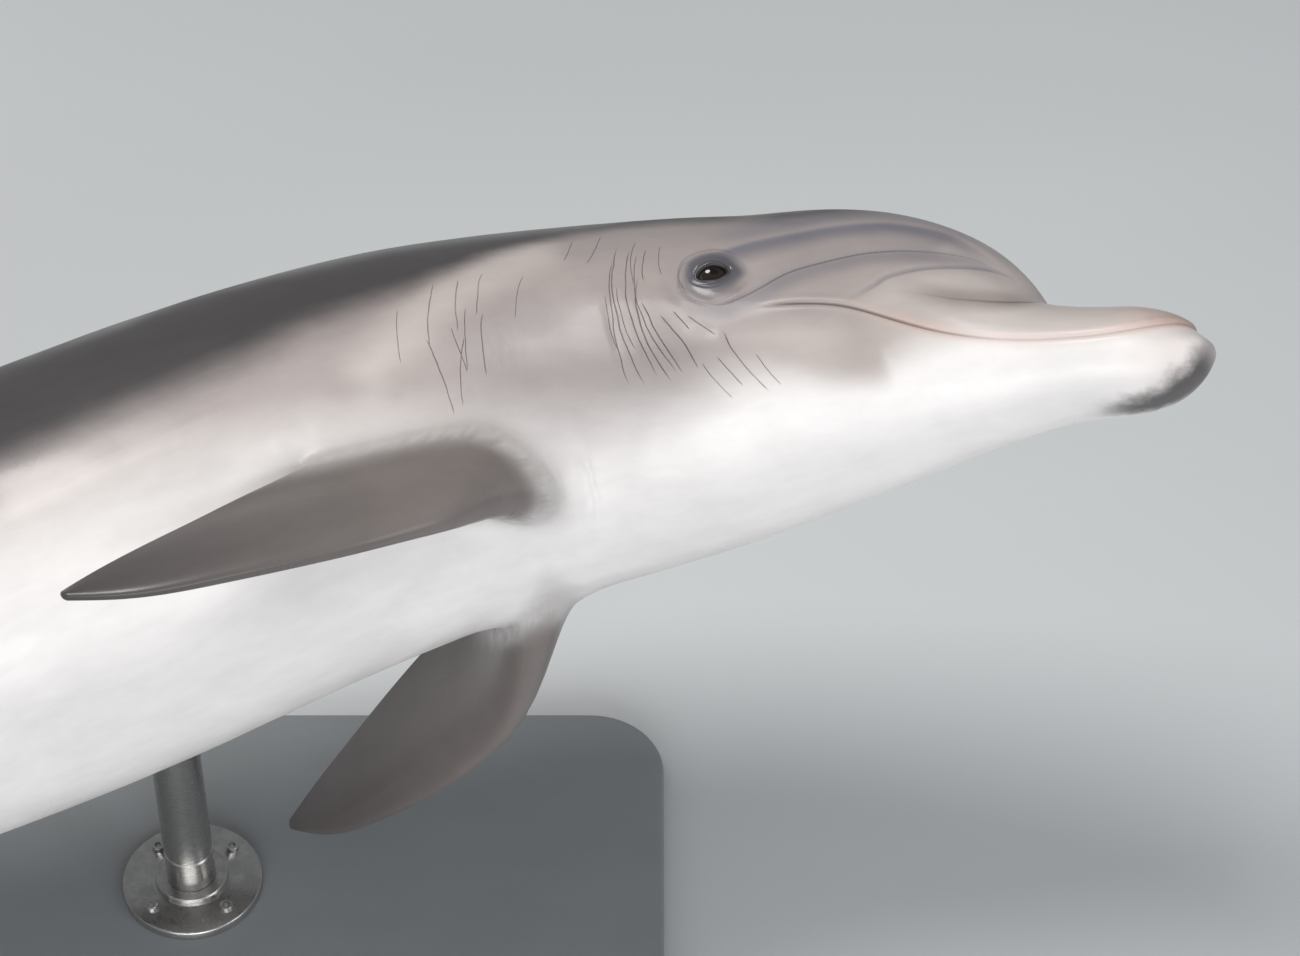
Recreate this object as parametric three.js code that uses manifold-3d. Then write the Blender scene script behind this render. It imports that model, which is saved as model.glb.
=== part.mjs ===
// Common bottlenose dolphin, life size, lying over on its left side with the head raised, on a plain
// display stand. Millimetres, +Z up. The origin is the centre of the stand's underside, +X is the way
// the beak points.
//
// The animal is first described straight and upright, in its own coordinates:
//   aft    distance behind the tip of the lower jaw
//   right  distance to the right of the midline
//   up     height above the level of the lips at the front of the beak
// and then laid along a gently bent spine by pose().

import * as THREE from "three";
import { LoftGeometry } from "three/addons/geometries/LoftGeometry.js";
import { mergeVertices } from "three/addons/utils/BufferGeometryUtils.js";
import Module from "manifold-3d";

const wasm = await Module();
wasm.setup();

// ---------------------------------------------------------------- driving dimensions

const GAP = 0.4; // clearance between neighbouring pieces
const SPINE_STEP = 10; // length of the straight pieces that the spine is made of
const SPINE_LENGTH = 2300;
const RING_POINTS = 32; // points round the body
const BEAK_SPACING = 15; // between the rings of the beak
const TRUNK_SPACING = 50; // between the rings of the trunk
const NOSE_RINGS = 7; // rings round the front of the beak
const EYE_SEGMENTS = 16;
const ROD_SEGMENTS = 24;
const CORNER_SEGMENTS = 8;
const FIN_POINTS = 16; // points round a fin's section
const FIN_STEPS = 10; // sections along a fin
const FIN_TIP = 0.995; // share of the span at which a fin's last section stands
const FIN_EDGE = 0.7; // least half-thickness of a fin

const LIP_SETBACK = 15; // the upper jaw is this much shorter than the lower one
const NOSE_LENGTH = 46; // length over which the beak's front is rounded off
const NOSE_LEVEL = -12; // height of the foremost point of the upper jaw
const CHIN_DROP = 16; // the lower jaw reaches its full length this far below the lips

const HEAD_END = 420;
const NECK_END = 520;
const CHEST_END = 820;
const TRUNK_END = 1370;
const TAIL_END = 1770;
const STOCK_END = 2090; // inside the root of the flukes

// The body's cross-sections. The section is widest at the waist height.
const sections = [
  // aft, back, belly, half-width, waist
  [15, 7, -57, 33, -20],
  [60, 11, -61, 39, -23],
  [102, 17, -61, 44, -21],
  [150, 34, -69, 53, -15],
  [210, 65, -84, 71, -8],
  [280, 98, -102, 90, 0],
  [335, 115, -116, 101, 6],
  [420, 128, -133, 113, 8],
  [540, 141, -147, 128, 8],
  [700, 154, -151, 143, 8],
  [900, 160, -150, 149, 6],
  [1130, 150, -136, 135, 5],
  [1400, 118, -104, 96, 3],
  [1700, 80, -67, 52, 1],
  [1930, 54, -45, 31, 0],
  [2130, 27, -24, 13, 0],
];
const backLine = columnCurve(1);
const bellyLine = columnCurve(2);
const halfWidthLine = columnCurve(3);
const waistLine = columnCurve(4);

// Height of the closed lips: level at the front, dipping, then rising to the corner of the mouth.
const lipLine = smoothCurve([
  [15, -13], [40, -18], [90, -23], [140, -21], [185, -14], [215, -6], [242, 1], [265, 4.5], [290, 6],
]);
// How square the section is: 2 is an ellipse, below 2 is keeled.
const fullnessLine = smoothCurve([
  [15, 2.1], [200, 2.05], [500, 2.0], [900, 2.05], [1350, 1.95], [1800, 1.75], [2130, 1.7],
]);

const MOUTH_CORNER = 278;
const JAW_HINGE = 308; // where the lower jaw's piece meets the throat, at the belly line

const melon = {
  centre: 297, // aft
  level: -15, // up
  length: 189, // half-lengths of the rounded forehead
  height: 135,
  width: 80,
  underside: 20,
  frontFillet: 4, // softness of the crease round the beak
  rearFillet: 14, // softness of the crown
};

const eye = {
  aft: 334,
  up: 35,
  radius: 17.5,
  proud: 3.2, // how far the ball stands out of the skin
};

const blowhole = {
  aft: 346,
  radius: 15, // of the crescent
  width: 2.4,
  depth: 11,
  sweep: 126, // degrees
};

// The way the animal is laid: angles in degrees at places along the body.
//   heading  how far the body swings towards -Y, going aft
//   sink     how far it slopes down, going aft
//   roll     how far it is turned on to its left side
const headingLine = easedCurve([[330, -8], [730, 23], [1000, 23], [2150, -5]]);
const sinkLine = easedCurve([[330, 18], [640, 9], [2150, 2]]);
const rollLine = easedCurve([[300, 70], [540, 86], [680, 86], [2000, 58]]);
const BEAK_TIP = new THREE.Vector3(855, 80, 612);

const stand = {
  length: 960,
  width: 450,
  thickness: 26,
  corner: 60,
  rodRadius: 19,
  flangeRadius: 55,
  flangeHeight: 14,
  frontRodAft: 790,
  rearRodAft: 1300,
};

// ---------------------------------------------------------------- small tools

// A curve with continuous curvature through [x, y] knots (natural cubic spline).
function smoothCurve(knots) {
  const count = knots.length;
  const x = knots.map((knot) => knot[0]);
  const y = knots.map((knot) => knot[1]);
  const bend = new Array(count).fill(0);
  const carry = new Array(count).fill(0);
  for (let i = 1; i < count - 1; i++) {
    const share = (x[i] - x[i - 1]) / (x[i + 1] - x[i - 1]);
    const divisor = share * bend[i - 1] + 2;
    bend[i] = (share - 1) / divisor;
    const rise = (y[i + 1] - y[i]) / (x[i + 1] - x[i]) - (y[i] - y[i - 1]) / (x[i] - x[i - 1]);
    carry[i] = ((6 * rise) / (x[i + 1] - x[i - 1]) - share * carry[i - 1]) / divisor;
  }
  for (let i = count - 2; i >= 0; i--) bend[i] = bend[i] * bend[i + 1] + carry[i];
  return (at) => {
    const place = Math.min(Math.max(at, x[0]), x[count - 1]);
    let i = 0;
    while (i < count - 2 && place > x[i + 1]) i++;
    const step = x[i + 1] - x[i];
    const a = (x[i + 1] - place) / step;
    const b = (place - x[i]) / step;
    const curvature = ((a ** 3 - a) * bend[i] + (b ** 3 - b) * bend[i + 1]) * (step * step) / 6;
    return a * y[i] + b * y[i + 1] + curvature;
  };
}

function columnCurve(column) {
  return smoothCurve(sections.map((section) => [section[0], section[column]]));
}

// A curve that is level at each of its [x, y] knots and eases from one to the next.
function easedCurve(knots) {
  return (at) => {
    let value = knots[0][1];
    for (let i = 1; i < knots.length; i++) {
      value += (knots[i][1] - knots[i - 1][1]) * ease(at, knots[i - 1][0], knots[i][0]);
    }
    return value;
  };
}

function radians(degrees) {
  return THREE.MathUtils.degToRad(degrees);
}

function ease(at, from, to) {
  return THREE.MathUtils.smoothstep(at, from, to);
}

function softMax(a, b, softness) {
  return 0.5 * (a + b + Math.hypot(a - b, softness));
}

// |x|^power with the sign of x.
function signedPower(x, power) {
  return Math.sign(x) * Math.abs(x) ** power;
}

// ---------------------------------------------------------------- the body's surface

// The forehead's radius from the level line, in the direction (right, up), at a place along the head.
function melonRadius(aft, right, up) {
  const along = (aft - melon.centre) / melon.length;
  if (Math.abs(along) >= 1) return 0;
  const swell = Math.sqrt(1 - along * along);
  const width = melon.width * swell;
  const height = (up > 0 ? melon.height : melon.underside) * swell;
  return 1 / Math.hypot(right / width, up / height);
}

// A point of the skin. turn is 0 at the right side, 90 degrees along the back, -90 along the belly.
// inflate moves the skin outwards.
function skinPoint(aft, turn, inflate = 0) {
  const nose = aft < LIP_SETBACK + NOSE_LENGTH
    ? Math.sqrt(Math.max(0, 1 - (1 - (aft - LIP_SETBACK) / NOSE_LENGTH) ** 2))
    : 1;
  const lips = lipLine(aft);
  const waist = waistLine(aft);
  const power = 2 / fullnessLine(aft);
  const c = signedPower(Math.cos(turn), power);
  const s = signedPower(Math.sin(turn), power);
  const reach = s > 0 ? backLine(aft) - waist : waist - bellyLine(aft);
  let right = halfWidthLine(aft) * nose * c;
  let up = THREE.MathUtils.lerp(NOSE_LEVEL, waist + reach * s, nose);

  const fromLevel = up - melon.level;
  const radius = Math.hypot(right, fromLevel);
  if (fromLevel > 0 && radius > 1e-6) {
    const forehead = melonRadius(aft, right / radius, fromLevel / radius);
    const softness = THREE.MathUtils.lerp(melon.frontFillet, melon.rearFillet, ease(aft, 110, 230));
    const grown = softMax(radius, forehead, softness) / softMax(radius, 0, softness);
    right *= grown;
    up = melon.level + fromLevel * grown;
  }

  // The lower jaw's front reaches past the upper one.
  const below = ease(THREE.MathUtils.lerp(NOSE_LEVEL, lips, nose) - up, 0, CHIN_DROP);
  const forward = LIP_SETBACK * below * (1 - ease(aft, 20, 95));
  if (inflate) {
    const grown = Math.hypot(right, up - waist);
    right *= 1 + inflate / grown;
    up = waist + (up - waist) * (1 + inflate / grown);
  }
  return new THREE.Vector3(aft - forward, right, up);
}

function ringAt(aft, inflate) {
  const ring = [];
  for (let i = 0; i < RING_POINTS; i++) {
    ring.push(skinPoint(aft, (i / RING_POINTS) * 2 * Math.PI, inflate));
  }
  return ring;
}

// ---------------------------------------------------------------- the pose

const spine = [BEAK_TIP.clone()];
for (let aft = 0; aft < SPINE_LENGTH; aft += SPINE_STEP) {
  const middle = spineFrame(aft + SPINE_STEP / 2);
  spine.push(spine[spine.length - 1].clone().addScaledVector(middle.aftward, SPINE_STEP));
}

// Unit vectors along the posed animal's own axes.
function spineFrame(aft) {
  const heading = radians(headingLine(aft));
  const sink = radians(sinkLine(aft));
  const roll = radians(rollLine(aft));
  const aftward = new THREE.Vector3(
    -Math.cos(heading) * Math.cos(sink),
    -Math.sin(heading) * Math.cos(sink),
    -Math.sin(sink),
  );
  const levelRight = new THREE.Vector3(0, 0, 1).cross(aftward).normalize();
  const levelUp = aftward.clone().cross(levelRight);
  return {
    aftward,
    right: turned(levelRight, levelUp, roll),
    up: turned(levelUp, levelRight, -roll),
  };
}

// from, turned by an angle towards a second vector square to it.
function turned(from, towards, angle) {
  return from.clone().multiplyScalar(Math.cos(angle)).addScaledVector(towards, Math.sin(angle));
}

function spinePoint(aft) {
  const place = THREE.MathUtils.clamp(aft / SPINE_STEP, 0, spine.length - 1.001);
  const i = Math.floor(place);
  const point = spine[i].clone().lerp(spine[i + 1], place - i);
  if (aft < 0) point.addScaledVector(spineFrame(0).aftward, aft);
  return point;
}

// Takes a point from the straight animal to the posed one.
function pose(point) {
  const { right, up } = spineFrame(point.x);
  return spinePoint(point.x).addScaledVector(right, point.y).addScaledVector(up, point.z);
}

// Poses a geometry made in the straight animal's coordinates.
function posedGeometry(geometry) {
  const corners = geometry.attributes.position;
  for (let i = 0; i < corners.count; i++) {
    const posed = pose(new THREE.Vector3().fromBufferAttribute(corners, i));
    corners.setXYZ(i, posed.x, posed.y, posed.z);
  }
  return geometry;
}

// ---------------------------------------------------------------- solids

const MERGE_DISTANCE = 1e-4;

// A solid to cut and join, from a closed geometry. Its faces are turned to point out.
function solidOf(geometry) {
  const bare = geometry.index ? geometry.toNonIndexed() : geometry.clone();
  bare.deleteAttribute("normal");
  bare.deleteAttribute("uv");
  const merged = mergeVertices(bare, MERGE_DISTANCE);
  const triVerts = [];
  for (let i = 0; i < merged.index.count; i += 3) {
    const corners = [0, 1, 2].map((k) => merged.index.getX(i + k));
    if (new Set(corners).size === 3) triVerts.push(...corners);
  }
  const build = () => new wasm.Manifold(new wasm.Mesh({
    numProp: 3,
    vertProperties: merged.attributes.position.array,
    triVerts: new Uint32Array(triVerts),
  }));
  const solid = build();
  if (solid.volume() > 0) return solid;
  for (let i = 0; i < triVerts.length; i += 3) {
    [triVerts[i + 1], triVerts[i + 2]] = [triVerts[i + 2], triVerts[i + 1]];
  }
  return build();
}

function geometryOf(solid) {
  const mesh = solid.getMesh();
  const positions = new Float32Array(mesh.numVert * 3);
  for (let i = 0; i < mesh.numVert; i++) {
    positions.set(mesh.vertProperties.subarray(i * mesh.numProp, i * mesh.numProp + 3), i * 3);
  }
  const geometry = new THREE.BufferGeometry();
  geometry.setAttribute("position", new THREE.BufferAttribute(positions, 3));
  geometry.setIndex(new THREE.BufferAttribute(mesh.triVerts, 1));
  return geometry;
}

// A closed solid through posed rings. A pointed one starts with a ring of no size, which needs no cap.
function loft(rings, pointed = false) {
  const posed = rings.map((ring) => ring.map(pose));
  return solidOf(new LoftGeometry(posed, { capStart: !pointed, capEnd: true }));
}

// Distance between rings: close together on the beak, wide apart on the trunk.
function ringSpacing(aft) {
  return THREE.MathUtils.lerp(BEAK_SPACING, TRUNK_SPACING, ease(aft, 180, 700));
}

// Places of the rings of a length of the body.
function stations(from, to) {
  const places = [from];
  const last = to - 0.6 * ringSpacing(to);
  for (let aft = from + ringSpacing(from); aft < last; aft += ringSpacing(aft)) {
    places.push(aft);
  }
  places.push(to);
  return places;
}

function bodyLength(places, inflate = 0) {
  return loft(places.map((aft) => ringAt(aft, inflate)));
}

// The rounded front of the beak has rings at even angles round its curve.
function headLength() {
  const front = [];
  for (let i = 0; i < NOSE_RINGS; i++) {
    const angle = (i / NOSE_RINGS) * Math.PI / 2;
    front.push(LIP_SETBACK + NOSE_LENGTH * (1 - Math.cos(angle)));
  }
  const places = [...front, ...stations(LIP_SETBACK + NOSE_LENGTH, HEAD_END - GAP / 2)];
  return loft(places.map((aft) => ringAt(aft)), true);
}

// A block that holds everything under the line of the lips, back to the hinge of the jaw. lift moves
// its upper and rear faces outwards.
function underLips(lift) {
  const front = -60;
  const floor = -260;
  const halfDepth = 200;
  const step = 15;
  const outline = [[front, floor], [front, lipLine(0) + lift]];
  for (let aft = 0; aft < MOUTH_CORNER; aft += step) outline.push([aft, lipLine(aft) + lift]);
  outline.push([MOUTH_CORNER + lift, lipLine(MOUTH_CORNER) + lift]);
  outline.push([JAW_HINGE + lift, bellyLine(JAW_HINGE)]);
  outline.push([JAW_HINGE + lift, floor]);
  const shape = new THREE.Shape(outline.map(([aft, up]) => new THREE.Vector2(aft, up)));
  const block = new THREE.ExtrudeGeometry(shape, { depth: 2 * halfDepth, bevelEnabled: false });
  block.translate(0, 0, -halfDepth);
  block.rotateX(Math.PI / 2);
  return solidOf(posedGeometry(block));
}

function ball(centre, radius) {
  const geometry = new THREE.SphereGeometry(radius, EYE_SEGMENTS, EYE_SEGMENTS / 2);
  geometry.translate(centre.x, centre.y, centre.z);
  return solidOf(geometry);
}

// ---------------------------------------------------------------- fins

// Half-thickness of a rounded foil, as a share of its full thickness, at a share of the chord.
function foil(share) {
  return 1.4845 * Math.sqrt(share) - 0.63 * share - 1.758 * share ** 2
    + 1.4215 * share ** 3 - 0.518 * share ** 4;
}

// Rings of a fin that is described by its leading edge, chord and thickness at shares of its span.
// place(reach, along, across) turns a share of the span, a distance along the chord line and a
// distance through the fin into a point of the straight animal.
function finRings(fin, from, place) {
  const rings = [];
  for (let step = 0; step <= FIN_STEPS; step++) {
    const reach = from + (FIN_TIP - from) * Math.sin((step / FIN_STEPS) * Math.PI / 2);
    const ring = [];
    for (let i = 0; i < FIN_POINTS; i++) {
      const angle = ((i + 0.5) / FIN_POINTS) * 2 * Math.PI;
      const share = 0.5 - 0.5 * Math.cos(angle);
      const half = foil(share) * fin.thickness(reach) + FIN_EDGE;
      const along = fin.leading(reach) + share * fin.chord(reach);
      ring.push(place(reach, along, Math.sign(Math.sin(angle)) * half));
    }
    rings.push(ring);
  }
  return rings;
}

const dorsalFin = {
  base: 925, // aft of the leading edge's foot
  foot: 150, // height of the fin's foot, just inside the back
  height: 196,
  leading: smoothCurve([
    [-0.3, -95], [0, 0], [0.25, 92], [0.5, 172], [0.75, 243], [0.9, 289], [1, 330],
  ]),
  chord: smoothCurve([
    [-0.3, 420], [0, 318], [0.25, 222], [0.5, 150], [0.75, 92], [0.9, 54], [0.97, 26], [1, 6],
  ]),
  thickness: smoothCurve([[-0.3, 70], [0, 44], [0.25, 27], [0.6, 17], [1, 4]]),
};

function dorsalPoint(reach, along, across) {
  const up = dorsalFin.foot + reach * dorsalFin.height;
  return new THREE.Vector3(dorsalFin.base + along, -across, up);
}

// The flukes lie level, one half on each side of the midline. hand is 1 on the right, -1 on the left.
const fluke = {
  span: 262,
  leading: smoothCurve([
    [0, 1910], [0.15, 1948], [0.35, 2006], [0.6, 2070], [0.8, 2120], [0.93, 2160], [1, 2192],
  ]),
  chord: smoothCurve([[0, 226], [0.06, 222], [0.15, 211], [0.4, 133], [0.7, 62], [0.9, 30], [1, 5]]),
  thickness: smoothCurve([[0, 40], [0.15, 33], [0.4, 22], [0.7, 12], [1, 3]]),
};

function flukePoint(hand) {
  return (reach, along, across) => {
    const right = hand * (GAP / 2 + reach * fluke.span);
    return new THREE.Vector3(along, right, hand * across);
  };
}

const flipper = {
  root: new THREE.Vector3(525, 88, -104),
  length: 350,
  leading: smoothCurve([
    [-0.2, -62], [0, -70], [0.2, -71], [0.5, -62], [0.75, -40], [0.92, -14], [1, 8],
  ]),
  chord: smoothCurve([
    [-0.2, 150], [0, 146], [0.2, 128], [0.5, 104], [0.75, 71], [0.92, 36], [1, 8],
  ]),
  thickness: smoothCurve([[-0.2, 52], [0, 44], [0.2, 30], [0.5, 20], [0.8, 12], [1, 4]]),
  tuck: 24, // how far the root's centre lies inside the skin
  tuckReach: 0.25, // share of the span along which the blade comes out of the body
  // Which way each blade points, root to tip, and how many degrees its outer face is tipped upwards.
  right: { aft: 1, out: 0.3, down: 0.17, cant: 16 },
  left: { aft: 1, out: 1.05, down: -0.2, cant: 10 },
};

function flipperPoint(side, hand) {
  const { aft, out, down, cant } = flipper[side];
  const span = new THREE.Vector3(aft, out, -down).normalize();
  const outward = new THREE.Vector3(0, 1, 0).addScaledVector(span, -span.y).normalize();
  const face = turned(outward, span.clone().cross(outward).normalize(), radians(cant));
  const chord = span.clone().cross(face).normalize(); // from the leading to the trailing edge
  const inward = new THREE.Vector3(0, -flipper.root.y, -flipper.root.z).normalize();
  return (reach, along, across) => {
    const tuck = flipper.tuck * Math.max(0, 1 - reach / flipper.tuckReach) ** 2;
    const point = flipper.root.clone()
      .addScaledVector(span, reach * flipper.length)
      .addScaledVector(chord, along)
      .addScaledVector(face, hand * across)
      .addScaledVector(inward, tuck);
    point.y *= hand;
    return point;
  };
}

// ---------------------------------------------------------------- the animal's pieces

// Centre of the eyeball, found by going up the side of the head to the eye's height.
function eyeCentre(hand) {
  const step = 0.01;
  let turn = 0;
  while (skinPoint(eye.aft, turn).z < eye.up) turn += step;
  const point = skinPoint(eye.aft, turn);
  const next = skinPoint(eye.aft, turn + step);
  const outward = new THREE.Vector3(0, next.z - point.z, point.y - next.y).normalize();
  point.addScaledVector(outward, eye.proud - eye.radius);
  point.y *= hand;
  return point;
}

// A crescent, open to the front, for the top of the head.
function blowholeSlit() {
  const { aft, radius, width, depth } = blowhole;
  const half = radians(blowhole.sweep) / 2;
  const shape = new THREE.Shape();
  shape.absarc(0, 0, radius + width / 2, -half, half, false);
  shape.absarc(0, 0, radius - width / 2, half, -half, true);
  const slit = new THREE.ExtrudeGeometry(shape, {
    depth: 2 * depth,
    bevelEnabled: false,
    curveSegments: CORNER_SEGMENTS,
  });
  const top = skinPoint(aft, Math.PI / 2).z;
  slit.translate(aft - radius / 2, 0, top - depth);
  return solidOf(posedGeometry(slit));
}

function head() {
  const whole = headLength();
  const lowerJaw = whole.intersect(underLips(-GAP / 2));
  const centres = { right: pose(eyeCentre(1)), left: pose(eyeCentre(-1)) };
  const upper = whole
    .subtract(underLips(GAP / 2))
    .subtract(ball(centres.right, eye.radius + GAP))
    .subtract(ball(centres.left, eye.radius + GAP))
    .subtract(blowholeSlit());
  addPiece("head", upper, flankSkin());
  addPiece("lower_jaw", lowerJaw, jawSkin());
  addPiece("eye_right", ball(centres.right, eye.radius), eyeball());
  addPiece("eye_left", ball(centres.left, eye.radius), eyeball());
}

const lengths = [
  ["neck", HEAD_END, NECK_END],
  ["chest", NECK_END, CHEST_END],
  ["trunk", CHEST_END, TRUNK_END],
  ["tail_front", TRUNK_END, TAIL_END],
  ["tail_stock", TAIL_END, STOCK_END],
];

function lengthStations([, from, to]) {
  return stations(from + GAP / 2, to - GAP / 2);
}

function body() {
  for (const length of lengths) addPiece(length[0], bodyLength(lengthStations(length)), flankSkin());
}

// The space that the fins and rods stay out of.
function bodyAndGap() {
  return bodyLength(lengths.flatMap(lengthStations), GAP);
}

function fins(keepOut) {
  const dorsal = loft(finRings(dorsalFin, -0.2, dorsalPoint));
  addPiece("dorsal_fin", dorsal.subtract(keepOut), backSkin());
  for (const [side, hand] of [["right", 1], ["left", -1]]) {
    const blade = loft(finRings(flipper, -0.15, flipperPoint(side, hand)));
    addPiece("flipper_" + side, blade.subtract(keepOut), backSkin());
    const half = loft(finRings(fluke, 0, flukePoint(hand)));
    addPiece("fluke_" + side, half.subtract(keepOut), backSkin());
  }
}

// ---------------------------------------------------------------- the stand

function standBase() {
  const { length, width, thickness, corner } = stand;
  const x = length / 2 - corner;
  const y = width / 2 - corner;
  const plate = new THREE.Shape();
  plate.absarc(x, y, corner, 0, Math.PI / 2, false);
  plate.absarc(-x, y, corner, Math.PI / 2, Math.PI, false);
  plate.absarc(-x, -y, corner, Math.PI, Math.PI * 1.5, false);
  plate.absarc(x, -y, corner, Math.PI * 1.5, Math.PI * 2, false);
  const options = { depth: thickness, bevelEnabled: false, curveSegments: CORNER_SEGMENTS };
  addPiece("stand_base", solidOf(new THREE.ExtrudeGeometry(plate, options)), paint());
}

function upright(radius, foot, top, over) {
  const cylinder = new THREE.CylinderGeometry(radius, radius, top - foot, ROD_SEGMENTS);
  cylinder.rotateX(Math.PI / 2);
  cylinder.translate(over.x, over.y, (foot + top) / 2);
  return solidOf(cylinder);
}

// A rod and the flange at its foot, under a place on the spine.
function standRod(name, aft, keepOut) {
  const over = spinePoint(aft);
  const flangeFoot = stand.thickness + GAP;
  const flangeTop = flangeFoot + stand.flangeHeight;
  const flange = upright(stand.flangeRadius, flangeFoot, flangeTop, over);
  const rod = upright(stand.rodRadius, flangeTop + GAP, over.z, over);
  addPiece("stand_flange_" + name, flange, steel());
  addPiece("stand_rod_" + name, rod.subtract(keepOut), steel());
}

// ---------------------------------------------------------------- materials

function material(color, roughness, metalness) {
  return new THREE.MeshStandardMaterial({ color, roughness, metalness });
}

function backSkin() {
  return material(0x7d7c80, 0.35, 0);
}

function flankSkin() {
  return material(0xa9a29f, 0.35, 0);
}

function jawSkin() {
  return material(0xe4d9d4, 0.35, 0);
}

function eyeball() {
  return material(0x241a18, 0.08, 0);
}

function paint() {
  return material(0xb4b6b7, 0.5, 0);
}

function steel() {
  return material(0xb8babc, 0.3, 1);
}

// ---------------------------------------------------------------- the whole model

const dolphin = new THREE.Group();

function addPiece(name, solid, look) {
  const mesh = new THREE.Mesh(geometryOf(solid), look);
  mesh.name = name;
  dolphin.add(mesh);
}

const keepOut = bodyAndGap();
head();
body();
fins(keepOut);
standBase();
standRod("front", stand.frontRodAft, keepOut);
standRod("rear", stand.rearRodAft, keepOut);

export default dolphin;
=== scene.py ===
"""Skins, finishes and stages a life-size bottlenose dolphin on its display stand.

The animal is first described straight and upright, in millimetres: aft of the jaw's tip, right of the
midline and up from the level of the lips. pose() then lays it along the bent spine of the model, and
every mesh is turned into metres there.
"""
from collections import namedtuple
from functools import lru_cache, reduce
from math import atan2, cos, exp, hypot, pi, radians, sin, sqrt

import bmesh
import bpy
from bpy.props import FloatProperty, FloatVectorProperty, IntProperty, PointerProperty
from bpy.types import Operator, Panel, PropertyGroup
from mathutils import Matrix, Vector, noise
from mathutils.bvhtree import BVHTree
from mathutils.kdtree import KDTree


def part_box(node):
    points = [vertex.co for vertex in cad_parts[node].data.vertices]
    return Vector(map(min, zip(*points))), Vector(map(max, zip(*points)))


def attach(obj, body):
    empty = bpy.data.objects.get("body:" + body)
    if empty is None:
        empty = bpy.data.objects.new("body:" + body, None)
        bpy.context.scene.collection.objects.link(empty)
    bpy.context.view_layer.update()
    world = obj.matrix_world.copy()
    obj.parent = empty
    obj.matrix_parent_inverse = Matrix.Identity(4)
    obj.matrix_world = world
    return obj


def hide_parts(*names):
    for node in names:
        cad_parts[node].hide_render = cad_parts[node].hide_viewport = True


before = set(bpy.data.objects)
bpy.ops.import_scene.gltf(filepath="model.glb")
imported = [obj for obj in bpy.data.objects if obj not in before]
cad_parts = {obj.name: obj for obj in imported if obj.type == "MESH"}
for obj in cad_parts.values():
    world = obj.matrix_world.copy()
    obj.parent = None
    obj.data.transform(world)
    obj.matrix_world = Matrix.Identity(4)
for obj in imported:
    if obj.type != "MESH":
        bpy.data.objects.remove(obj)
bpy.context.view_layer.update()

bl_info = {
    "name": "Bottlenose dolphin model",
    "version": (1, 0, 0),
    "blender": (4, 5, 0),
    "location": "View3D > Sidebar > Dolphin",
    "description": "Skins, finishes and stages a life-size dolphin on a display stand",
    "category": "Object",
}

MM = 0.001  # metres in a millimetre
BODY = "root"
FLESH = (
    "head", "lower_jaw", "neck", "chest", "trunk", "tail_front", "tail_stock",
    "dorsal_fin", "flipper_right", "flipper_left", "fluke_right", "fluke_left",
)

# ---------------------------------------------------------------- the straight animal

SPINE_STEP = 10
SPINE_LENGTH = 2300
LIP_SETBACK = 15  # the upper jaw is this much shorter than the lower one
NOSE_LENGTH = 46  # length over which the beak's front is rounded off
NOSE_LEVEL = -9.5  # height of the foremost point of the upper jaw
CHIN_DROP = 16  # the lower jaw reaches its full length this far below the lips
MOUTH_CORNER = 278
STOCK_TIP = 2092  # end of the tail stock, inside the flukes
STOCK_TAPER = 92  # length over which it is rounded off

# aft, back, belly, half-width and waist, the height at which the section is widest
SECTIONS = (
    (15, 7, -57, 33, -20),
    (60, 11, -61, 39, -23),
    (102, 17, -61, 44, -21),
    (150, 34, -69, 53, -15),
    (210, 65, -84, 71, -8),
    (280, 98, -102, 90, 0),
    (335, 115, -116, 101, 6),
    (420, 128, -133, 113, 8),
    (540, 141, -147, 128, 8),
    (700, 154, -151, 143, 8),
    (900, 160, -150, 149, 6),
    (1130, 150, -136, 135, 5),
    (1400, 118, -104, 96, 3),
    (1700, 80, -67, 52, 1),
    (1930, 54, -45, 31, 0),
    (2130, 27, -24, 13, 0),
)
LIPS = (
    (15, -10), (40, -18), (90, -23), (140, -21), (185, -13.5), (215, -4.8), (242, 3), (265, 5.5), (290, 5),
)
FULLNESS = ((15, 2.1), (200, 2.05), (500, 2.0), (900, 2.05), (1350, 1.95), (1800, 1.75), (2130, 1.7))
MELON = {"centre": 297, "level": -15, "length": 189, "height": 135, "width": 80, "underside": 20}
MELON_FRONT_FILLET = 4
MELON_REAR_FILLET = 14

HEADING = ((330, -8), (730, 23), (1000, 23), (2150, -5))
SINK = ((330, 18), (640, 9), (2150, 2))
ROLL = ((300, 70), (540, 86), (680, 86), (2000, 58))
BEAK_TIP = Vector((855, 80, 612))

FINE_HEAD = 425  # the skin's mesh is finer forward of here
FIN_START = 430  # no fin reaches further forward

EYE_AFT = 334
EYE_UP = 35
EYE_RADIUS = 17.5
EYE_PROUD = 3.2  # how far the eyeball reaches past the skin
IRIS_PLACE = (0.3, -0.19, 0.0)  # middle of the iris off the eyeball's axis, in radii

NAVEL = 1020
BELLY_SLITS = ((1330, 1428), (1462, 1500))

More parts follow.
